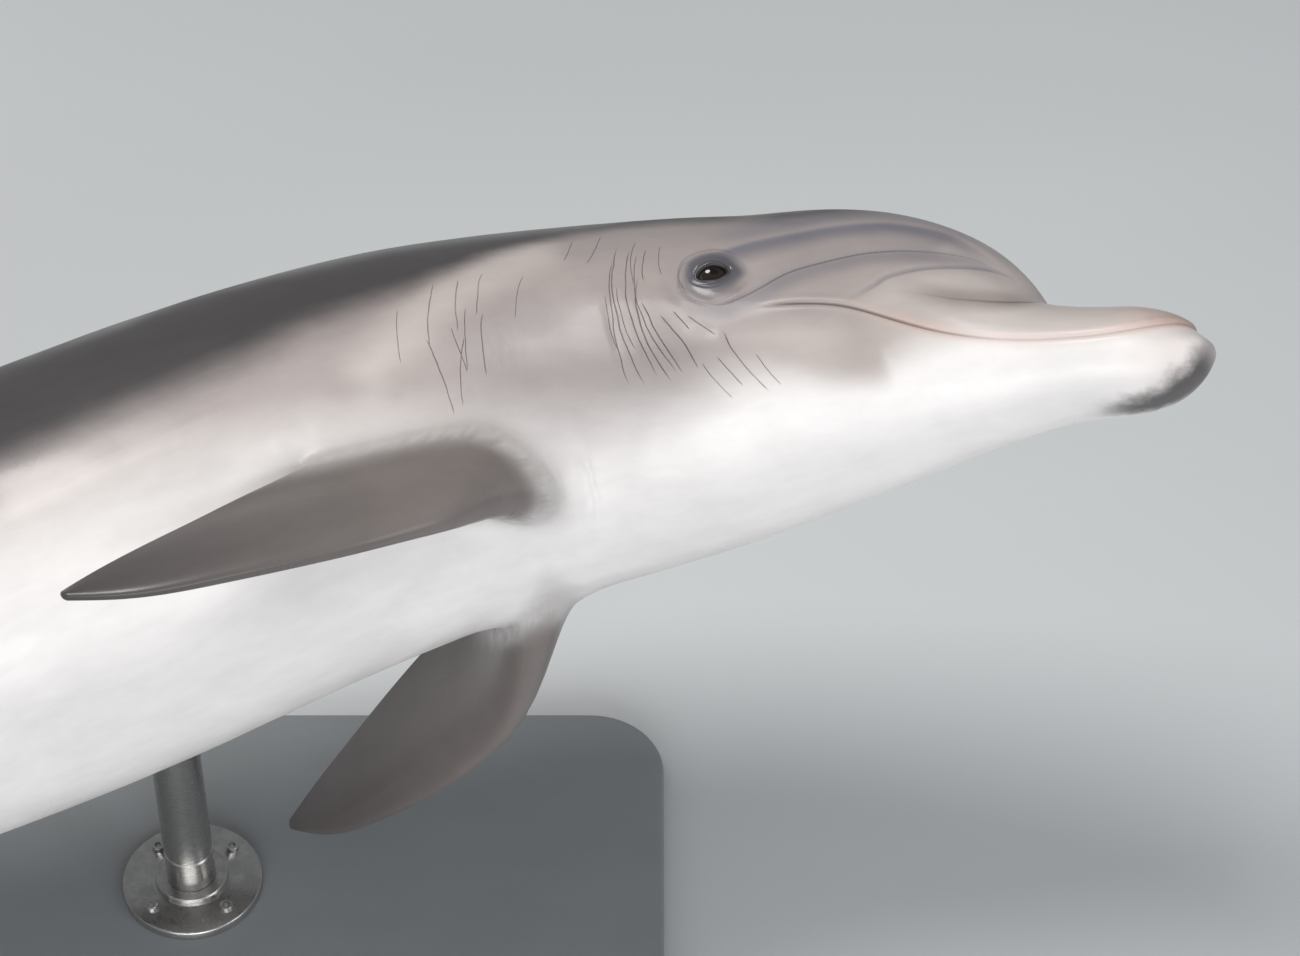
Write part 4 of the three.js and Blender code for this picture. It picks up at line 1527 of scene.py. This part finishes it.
def eye_material(sizes, colours):
    """A dark wet eye. Its iris sits in the lids' opening, forward of and below the eyeball's axis."""
    material, nodes, shader = new_material(
        "eye", Coat_Weight=1.0, Coat_Roughness=0.02, Specular_IOR_Level=0.1,
    )
    gaze = nodes.attribute("gaze")["Vector"]
    parts = nodes.parts(gaze)
    flat = nodes.vector("SUBTRACT", nodes.joined(parts["X"], parts["Y"], 0.0), IRIS_PLACE)
    out = nodes.vector("LENGTH", flat)
    iris = sizes.iris / MM / EYE_RADIUS
    pupil = sizes.pupil / MM / EYE_RADIUS
    around = nodes.parts(flat)
    angle = nodes.math("ARCTAN2", around["Y"], around["X"])
    fibres = nodes.noise(nodes.joined(nodes.times(angle, 7.0), nodes.times(out, 3.0), 0.0), 2.5, 3.0, 0.7)
    colour = nodes.mix(nodes.ease(fibres, 0.3, 0.7), colours.iris_dark, colours.iris)
    white = nodes.mix(nodes.noise(gaze, 5.0, 3.0), colours.sclera, colours.iris_dark)
    colour = nodes.mix(nodes.ease(out, iris * 0.86, iris * 1.04), colour, white)
    limbus = nodes.ease(nodes.distance(out, iris), 0.0, 0.07, 0.85, 0.0)
    colour = nodes.mix(limbus, colour, (0.006, 0.005, 0.005))
    off = nodes.vector("MULTIPLY", nodes.vector("SUBTRACT", flat, (0.0, -0.02, 0.0)), (1.0, 1.5, 1.0))
    hole = nodes.ease(nodes.vector("LENGTH", off), pupil * 1.1, pupil * 0.9)
    nodes.feed(shader["Base Color"], nodes.mix(hole, colour, (0.002, 0.002, 0.002)))
    nodes.feed(shader["Roughness"], nodes.ease(out, iris, iris * 1.3, 0.06, 0.2))
    nodes.feed(shader["Normal"], bump(nodes, nodes.times(nodes.noise(gaze, 9.0), 0.05)))
    return material


# ---------------------------------------------------------------- the stand

NEAR = 1e-5


def node_box(name):
    low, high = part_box(name)
    return Vector(low), Vector(high)


def bevelled(bm, edges, width, segments):
    bmesh.ops.bevel(bm, geom=edges, offset=width, offset_type="OFFSET", affect="EDGES", segments=segments,
                    profile=0.5, material=-1)


def make_base(sizes):
    """The flat base: a plate with round corners and an eased edge, on four low feet."""
    low, high = node_box("stand_base")
    size = high - low
    middle = (low + high) / 2
    foot = sizes.foot_height
    bm = bmesh.new()
    bmesh.ops.create_cube(bm, size=1)
    bmesh.ops.scale(bm, verts=bm.verts, vec=(size.x, size.y, size.z - foot))
    bmesh.ops.translate(bm, verts=bm.verts, vec=(middle.x, middle.y, (low.z + foot + high.z) / 2))
    upright = [edge for edge in bm.edges if abs(edge.verts[0].co.z - edge.verts[1].co.z) > NEAR]
    bevelled(bm, upright, sizes.corner, 14)
    rim = [edge for edge in bm.edges if all(vert.co.z > high.z - NEAR for vert in edge.verts)]
    bevelled(bm, rim, sizes.edge, 4)
    rim = [edge for edge in bm.edges if all(vert.co.z < low.z + foot + NEAR for vert in edge.verts)]
    bevelled(bm, rim, sizes.edge * 0.4, 2)
    radius = sizes.foot_radius
    outline = ((0, 0), (radius - 0.002, 0), (radius, 0.002), (radius, foot + 0.001), (0, foot + 0.001))
    for along in (-1, 1):
        for across in (-1, 1):
            x = middle.x + along * (size.x / 2 - sizes.foot_inset)
            y = middle.y + across * (size.y / 2 - sizes.foot_inset)
            lathe(bm, (x, y, low.z), outline)
    piece = mesh_object(bm, "stand_base_plate")
    flat_and_round(piece)
    return piece


def lathe(bm, place, outline, segments=48):
    """Spins an outline of (radius, height) round an upright axis, closed at both ends."""
    verts = [bm.verts.new((place[0] + radius, place[1], place[2] + height)) for radius, height in outline]
    edges = [bm.edges.new(pair) for pair in zip(verts, verts[1:])]
    bmesh.ops.spin(bm, geom=verts + edges, cent=place, axis=(0, 0, 1), angle=2 * pi, steps=segments,
                   use_merge=True)
    bmesh.ops.remove_doubles(bm, verts=bm.verts, dist=1e-6)
    bmesh.ops.recalc_face_normals(bm, faces=bm.faces)


def flat_and_round(piece):
    """Smooth shading that stays crisp over steep edges."""
    steep = radians(35)
    bm = bmesh.new()
    bm.from_mesh(piece.data)
    for face in bm.faces:
        face.smooth = True
    for edge in bm.edges:
        if len(edge.link_faces) == 2 and edge.calc_face_angle() > steep:
            edge.smooth = False
    bm.to_mesh(piece.data)
    bm.free()


def round_node(name):
    """The middle of the foot of a round upright node, its radius and its height."""
    low, high = node_box(name)
    middle = (low + high) / 2
    return Vector((middle.x, middle.y, low.z)), (high.x - low.x) / 2, high.z - low.z


def make_flange(end, sizes):
    """A round foot with a raised hub that clamps the rod, and four socket screws."""
    foot, radius, height = round_node(f"stand_flange_{end}")
    ease_width = 0.0015
    hub = sizes.hub_radius
    plate = height * 0.55
    outline = (
        (0, 0), (radius - 0.0006, 0), (radius, 0.0006), (radius, plate - ease_width),
        (radius - ease_width * 0.4, plate - ease_width * 0.4), (radius - ease_width, plate),
        (hub + 0.003, plate), (hub + 0.0009, plate + 0.0009), (hub, plate + 0.003),
        (hub, height - 0.001), (hub - 0.001, height), (0, height),
    )
    bm = bmesh.new()
    lathe(bm, foot, outline, 72)
    for quarter in range(4):
        turn = (quarter + 0.5) * pi / 2
        reach = (radius + hub) / 2
        screw(bm, foot + Vector((reach * cos(turn), reach * sin(turn), plate - 0.0005)), sizes)
    piece = mesh_object(bm, f"stand_foot_{end}")
    flat_and_round(piece)
    return piece


def screw(bm, place, sizes):
    """A socket cap screw: a round head with a round hole."""
    radius = sizes.screw_radius
    head = sizes.screw_height
    outer = bmesh.ops.create_cone(bm, cap_ends=True, segments=30, radius1=radius, radius2=radius, depth=head,
                                  matrix=Matrix.Translation(place + Vector((0, 0, head / 2))))
    top = [vert for vert in outer["verts"] if vert.co.z > place.z + head * 0.9]
    cap = [face for face in bm.faces if all(vert in top for vert in face.verts)]
    bmesh.ops.inset_region(bm, faces=cap, thickness=radius * 0.12, depth=radius * 0.1)
    bmesh.ops.inset_region(bm, faces=cap, thickness=radius * 0.36, depth=0)
    pushed = bmesh.ops.extrude_discrete_faces(bm, faces=cap)["faces"]
    bmesh.ops.translate(bm, verts=[vert for face in pushed for vert in face.verts],
                        vec=(0, 0, -head * 0.6))


def make_rod(end, sizes):
    """An upright rod from the flange to inside the belly, with a groove round its foot."""
    foot, radius, height = round_node(f"stand_rod_{end}")
    height += sizes.rod_reach
    groove = radius - 0.0012
    outline = (
        (0, 0), (radius, 0), (radius, 0.03), (groove, 0.0312), (groove, 0.0338), (radius, 0.035),
        (radius, height - 0.002), (radius - 0.002, height), (0, height),
    )
    bm = bmesh.new()
    lathe(bm, foot, outline, 64)
    piece = mesh_object(bm, f"stand_post_{end}")
    flat_and_round(piece)
    return piece


def darker(colour, share):
    return [value * share for value in colour]


def paint_material(colours):
    material, nodes, shader = new_material("base_paint", Specular_IOR_Level=0.45)
    place = nodes.add("ShaderNodeTexCoord").outputs["Object"]
    mottle = nodes.group(group_named("mottle"), Place=place, Blotch=3.0, Grain=900.0)
    speck = nodes.ease(nodes.noise(place, 1400.0, 1.0), 0.62, 0.74, 0.0, 0.25)
    tone = nodes.ease(mottle["Tone"], 0.3, 0.7)
    colour = nodes.mix(tone, colours.base_paint, darker(colours.base_paint, 0.9))
    colour = nodes.mix(speck, colour, darker(colours.base_paint, 0.55))
    nodes.feed(shader["Base Color"], colour)
    nodes.feed(shader["Roughness"], nodes.ease(mottle["Tone"], 0.3, 0.7, 0.38, 0.52))
    nodes.feed(shader["Normal"], bump(nodes, nodes.times(mottle["Height"], 0.16)))
    return material


def steel_material(colours):
    material, nodes, shader = new_material("rod_steel", Metallic=1.0)
    place = nodes.add("ShaderNodeTexCoord").outputs["Object"]
    brushed = nodes.noise(nodes.vector("MULTIPLY", place, (1.0, 1.0, 26.0)), 90.0, 3.0, 0.7)
    mottle = nodes.group(group_named("mottle"), Place=place, Blotch=14.0, Grain=500.0)
    colour = nodes.mix(nodes.ease(brushed, 0.3, 0.7), colours.steel, darker(colours.steel, 0.82))
    colour = nodes.mix(nodes.ease(mottle["Tone"], 0.55, 0.75, 0.0, 0.25), colour, (0.3, 0.29, 0.28))
    nodes.feed(shader["Base Color"], colour)
    nodes.feed(shader["Roughness"], nodes.ease(brushed, 0.25, 0.75, 0.22, 0.38))
    nodes.feed(shader["Normal"], bump(nodes, nodes.times(brushed, 0.02)))
    return material


# ---------------------------------------------------------------- the stage

def floor_material(colours):
    material, nodes, shader = new_material("floor", Specular_IOR_Level=0.25)
    place = nodes.add("ShaderNodeTexCoord").outputs["Object"]
    mottle = nodes.group(group_named("mottle"), Place=place, Blotch=0.6, Grain=60.0)
    tone = nodes.ease(mottle["Tone"], 0.3, 0.7)
    nodes.feed(shader["Base Color"], nodes.mix(tone, colours.floor, darker(colours.floor, 0.97)))
    nodes.feed(shader["Roughness"], nodes.ease(mottle["Tone"], 0.3, 0.7, 0.5, 0.62))
    return material


def area_light(name, power, size, place, target, colour):
    data = bpy.data.lights.new(name, "AREA")
    data.shape = "ELLIPSE"
    data.energy = power
    data.size, data.size_y = size
    data.color = colour
    lamp = linked(name, data)
    lamp.location = place
    lamp.rotation_euler = (Vector(target) - Vector(place)).to_track_quat("-Z", "Y").to_euler()


def make_world(strength):
    world = bpy.data.worlds.new("studio")
    world.use_nodes = True
    background = world.node_tree.nodes["Background"].inputs
    background["Color"].default_value = (0.93, 0.96, 1.0, 1)
    background["Strength"].default_value = strength
    bpy.context.scene.world = world


def make_camera(stage):
    data = bpy.data.cameras.new("camera")
    data.sensor_width = 36
    data.lens = stage.lens
    camera = linked("camera", data)
    camera.location = stage.camera_place
    camera.rotation_euler = (stage.camera_pitch, 0, 0)
    bpy.context.scene.camera = camera


def make_stage(stage, colours):
    bm = bmesh.new()
    bmesh.ops.create_grid(bm, x_segments=8, y_segments=8, size=stage.floor_size / 2)
    floor = mesh_object(bm, "floor")
    floor.data.materials.append(floor_material(colours))
    area_light("key", stage.key_power, (1.3, 1.3), (-0.7, 0.3, 3.1), (0.2, 0, 0.4), (1.0, 0.985, 0.96))
    area_light("side", stage.side_power, (1.2, 2.2), (2.6, -1.3, 1.7), (0.4, 0, 0.5), (0.96, 0.98, 1.0))
    area_light("front", stage.fill_power, (7.6, 3.8), (0.5, -7.0, 2.8), (0.3, 0, 0.45), (0.97, 0.985, 1.0))
    make_world(stage.world_strength)
    make_camera(stage)
    bpy.context.scene.view_settings.view_transform = "Standard"


# ---------------------------------------------------------------- sizes and colours

def length_property(name, description, millimetres):
    return FloatProperty(name=name, description=description, default=millimetres * MM, unit="LENGTH")


def angle_property(name, description, degrees):
    return FloatProperty(name=name, description=description, default=radians(degrees), subtype="ANGLE")


def power_property(name, description, watts):
    return FloatProperty(name=name, description=description, default=watts, unit="POWER")


def colour_property(name, description, default):
    return FloatVectorProperty(name=name, description=description, subtype="COLOR", default=default,
                               min=0, max=1)


class DolphinSkinSizes(PropertyGroup):
    """Sizes of the skin's mesh and relief"""
    head_spacing: length_property("Head rings", "Distance between rings on the head", 2.7)
    trunk_spacing: length_property("Trunk rings", "Distance between rings on the trunk", 12)
    rows: IntProperty(name="Rows", description="Rows round the trunk, doubled on the head", default=120)
    fillet: length_property("Fin fillet", "Reach of the roundings at the fins' roots", 40)
    lip_depth: length_property("Lip groove depth", "Depth of the closed mouth's groove", 1.8)
    lip_width: length_property("Lip groove width", "Half-width of the mouth's groove", 1.0)
    blowhole_aft: length_property("Blowhole place", "Distance aft of the jaw's tip", 346)
    blowhole_radius: length_property("Blowhole radius", "Radius of the crescent", 15)
    blowhole_depth: length_property("Blowhole depth", "Depth of the crescent slit", 5)
    lid_thickness: length_property("Lid thickness", "Skin lying over the eyeball", 1.5)
    opening_length: length_property("Eye opening length", "Corner to corner", 19.5)
    opening_height: length_property("Eye opening height", "Lid to lid", 9.6)
    opening_tilt: angle_property("Eye opening tilt", "Rise of the front corner", 18)
    opening_aft: length_property("Eye opening aft", "Shift of the opening on the ball", -4)
    opening_up: length_property("Eye opening up", "Shift of the opening on the ball", -3.5)
    canthus: FloatProperty(name="Eye corner", description="2 is an ellipse, less gives sharper corners",
                           default=1.75)


class DolphinEyeSizes(PropertyGroup):
    """Sizes of the eyeballs' parts"""
    iris: length_property("Iris", "Radius of the iris", 8.6)
    pupil: length_property("Pupil", "Half-length of the pupil", 3.6)
    cornea: length_property("Cornea", "Height of the cornea's bulge", 0.7)


class DolphinColours(PropertyGroup):
    """Colours of the skin, the eyes, the stand and the floor"""
    cheek: colour_property("Cheek", "Face and flank", (0.395, 0.345, 0.33))
    # Also the colour of the painted shade on the lower neck.
    flank: colour_property("Upper flank", "Flank under the cape's edge", (0.335, 0.297, 0.295))
    # Also the colour of the painted sheens on the shoulder and forehead.
    muzzle: colour_property("Muzzle", "Upper jaw and mouth's edge", (0.6, 0.54, 0.51))
    pale: colour_property("Underside", "Lower jaw, throat and belly", (0.87, 0.84, 0.825))
    cape: colour_property("Cape", "Crown and back", (0.07, 0.064, 0.066))
    fin: colour_property("Fins", "Fins, flippers and flukes", (0.2, 0.175, 0.165))
    # Also painted shade round the lid patch and under the bridle's fold.
    band: colour_property("Band", "Soft dark bands of the face", (0.16, 0.157, 0.195))
    lid: colour_property("Lids", "Smooth skin round the eyes", (0.12, 0.115, 0.13))
    lid_dark: colour_property("Dark lids", "Skin next to the eyeballs", (0.035, 0.034, 0.04))
    rim: colour_property("Lids' rim", "Edge of the lids against the eyeball", (0.012, 0.011, 0.013))
    # Painted shade before the forehead, under and behind the eye and on the cheek; it also greys the upper
    # jaw's tip.
    shadow: colour_property("Shadow", "Brown shade before the forehead", (0.20, 0.155, 0.14))
    blush: colour_property("Blush", "Worn tips of the jaws", (0.66, 0.45, 0.38))
    # Partly the chin's own grey, partly painted shade under it.
    smudge_and_shade: colour_property("Smudge", "Grey under the chin's tip", (0.05, 0.046, 0.05))
    # Painted shade at the bottom of creases and in the mouth's groove; also the tooth rakes' own dark
    # colour.
    line: colour_property("Lines", "Bottom of creases and the mouth", (0.055, 0.043, 0.04))
    iris: colour_property("Iris", "Lighter fibres of the iris", (0.034, 0.016, 0.01))
    iris_dark: colour_property("Dark iris", "Darker fibres of the iris", (0.009, 0.005, 0.004))
    sclera: colour_property("White of the eye", "Ring outside the iris", (0.10, 0.08, 0.075))
    base_paint: colour_property("Base paint", "Satin paint of the base", (0.30, 0.315, 0.325))
    steel: colour_property("Steel", "Brushed steel of the rods", (0.62, 0.61, 0.59))
    floor: colour_property("Floor", "Plain pale floor", (0.7, 0.72, 0.73))


class DolphinStandSizes(PropertyGroup):
    """Sizes of the stand's details"""
    corner: length_property("Corner", "Radius of the base's corners", 60)
    edge: length_property("Edge", "Rounding of the base's top edge", 3)
    foot_height: length_property("Foot height", "Height of the rubber feet", 4)
    foot_radius: length_property("Foot radius", "Radius of the rubber feet", 23)
    foot_inset: length_property("Foot inset", "Distance of a foot's middle from the base's sides", 70)
    hub_radius: length_property("Hub radius", "Radius of the clamping hub", 28)
    screw_radius: length_property("Screw radius", "Radius of a socket screw's head", 5)
    screw_height: length_property("Screw height", "Height of a socket screw's head", 4.5)
    rod_reach: length_property("Rod reach", "How far a rod goes on inside the belly", 12)


class DolphinStageSizes(PropertyGroup):
    """Camera, lights and floor"""
    lens: FloatProperty(name="Lens", description="Focal length in millimetres", default=104.4)
    camera_place: FloatVectorProperty(name="Camera", description="Place of the camera",
                                      default=(0.469, -1.779, 2.3789), subtype="XYZ", unit="LENGTH")
    camera_pitch: angle_property("Pitch", "Tilt of the camera up from straight down", 44)
    floor_size: length_property("Floor", "Side of the floor", 16000)
    key_power: power_property("Key light", "Power of the overhead light", 58)
    side_power: power_property("Side light", "Power of the light before the head", 12)
    fill_power: power_property("Fill light", "Power of the light on the side", 270)
    world_strength: FloatProperty(name="Room light", description="Strength of the light all round",
                                  default=0.24)


# ---------------------------------------------------------------- operators and panel

class DOLPHIN_OT_skin(Operator):
    """Make the skin of the body and fins"""
    bl_idname = "dolphin.skin"
    bl_label = "Skin"

    def execute(self, context):
        piece = make_skin(context.scene.dolphin_skin)
        finish_piece(piece, skin_material(context.scene.dolphin_colours), FLESH)
        return {"FINISHED"}


class DOLPHIN_OT_eyes(Operator):
    """Make both eyeballs"""
    bl_idname = "dolphin.eyes"
    bl_label = "Eyes"

    def execute(self, context):
        sizes = context.scene.dolphin_eyes
        material = eye_material(sizes, context.scene.dolphin_colours)
        for hand, node in ((1, "eye_right"), (-1, "eye_left")):
            finish_piece(make_eye(hand, sizes), material, [node])
        return {"FINISHED"}


class DOLPHIN_OT_base(Operator):
    """Make the stand's base"""
    bl_idname = "dolphin.base"
    bl_label = "Base"

    def execute(self, context):
        material = paint_material(context.scene.dolphin_colours)
        finish_piece(make_base(context.scene.dolphin_stand), material, ["stand_base"])
        return {"FINISHED"}


class DOLPHIN_OT_rods(Operator):
    """Make the stand's rods and their flanges"""
    bl_idname = "dolphin.rods"
    bl_label = "Rods"

    def execute(self, context):
        sizes = context.scene.dolphin_stand
        material = steel_material(context.scene.dolphin_colours)
        for end in ("front", "rear"):
            finish_piece(make_flange(end, sizes), material, [f"stand_flange_{end}"])
            finish_piece(make_rod(end, sizes), material, [f"stand_rod_{end}"])
        return {"FINISHED"}


class DOLPHIN_OT_stage(Operator):
    """Make the floor, the lights and the camera"""
    bl_idname = "dolphin.stage"
    bl_label = "Stage"

    def execute(self, context):
        make_stage(context.scene.dolphin_stage, context.scene.dolphin_colours)
        return {"FINISHED"}


class DOLPHIN_PT_panel(Panel):
    """Lists the dolphin's pieces and their sizes"""
    bl_label = "Dolphin"
    bl_idname = "DOLPHIN_PT_panel"
    bl_space_type = "VIEW_3D"
    bl_region_type = "UI"
    bl_category = "Dolphin"

    def draw(self, context):
        for operator in OPERATORS:
            self.layout.operator(operator.bl_idname)
        for name, group in GROUPS.items():
            box = self.layout.box()
            box.label(text=group.__doc__)
            for key in group.__annotations__:
                box.prop(getattr(context.scene, name), key)


GROUPS = {
    "dolphin_skin": DolphinSkinSizes,
    "dolphin_eyes": DolphinEyeSizes,
    "dolphin_colours": DolphinColours,
    "dolphin_stand": DolphinStandSizes,
    "dolphin_stage": DolphinStageSizes,
}
OPERATORS = (DOLPHIN_OT_skin, DOLPHIN_OT_eyes, DOLPHIN_OT_base, DOLPHIN_OT_rods, DOLPHIN_OT_stage)
CLASSES = (*GROUPS.values(), *OPERATORS, DOLPHIN_PT_panel)


def register():
    for cls in CLASSES:
        bpy.utils.register_class(cls)
    for name, group in GROUPS.items():
        setattr(bpy.types.Scene, name, PointerProperty(type=group))


def unregister():
    for name in GROUPS:
        delattr(bpy.types.Scene, name)
    for cls in reversed(CLASSES):
        bpy.utils.unregister_class(cls)


def main():
    register()
    bpy.ops.dolphin.skin()
    bpy.ops.dolphin.eyes()
    bpy.ops.dolphin.base()
    bpy.ops.dolphin.rods()
    bpy.ops.dolphin.stage()


if __name__ == "__main__":
    main()
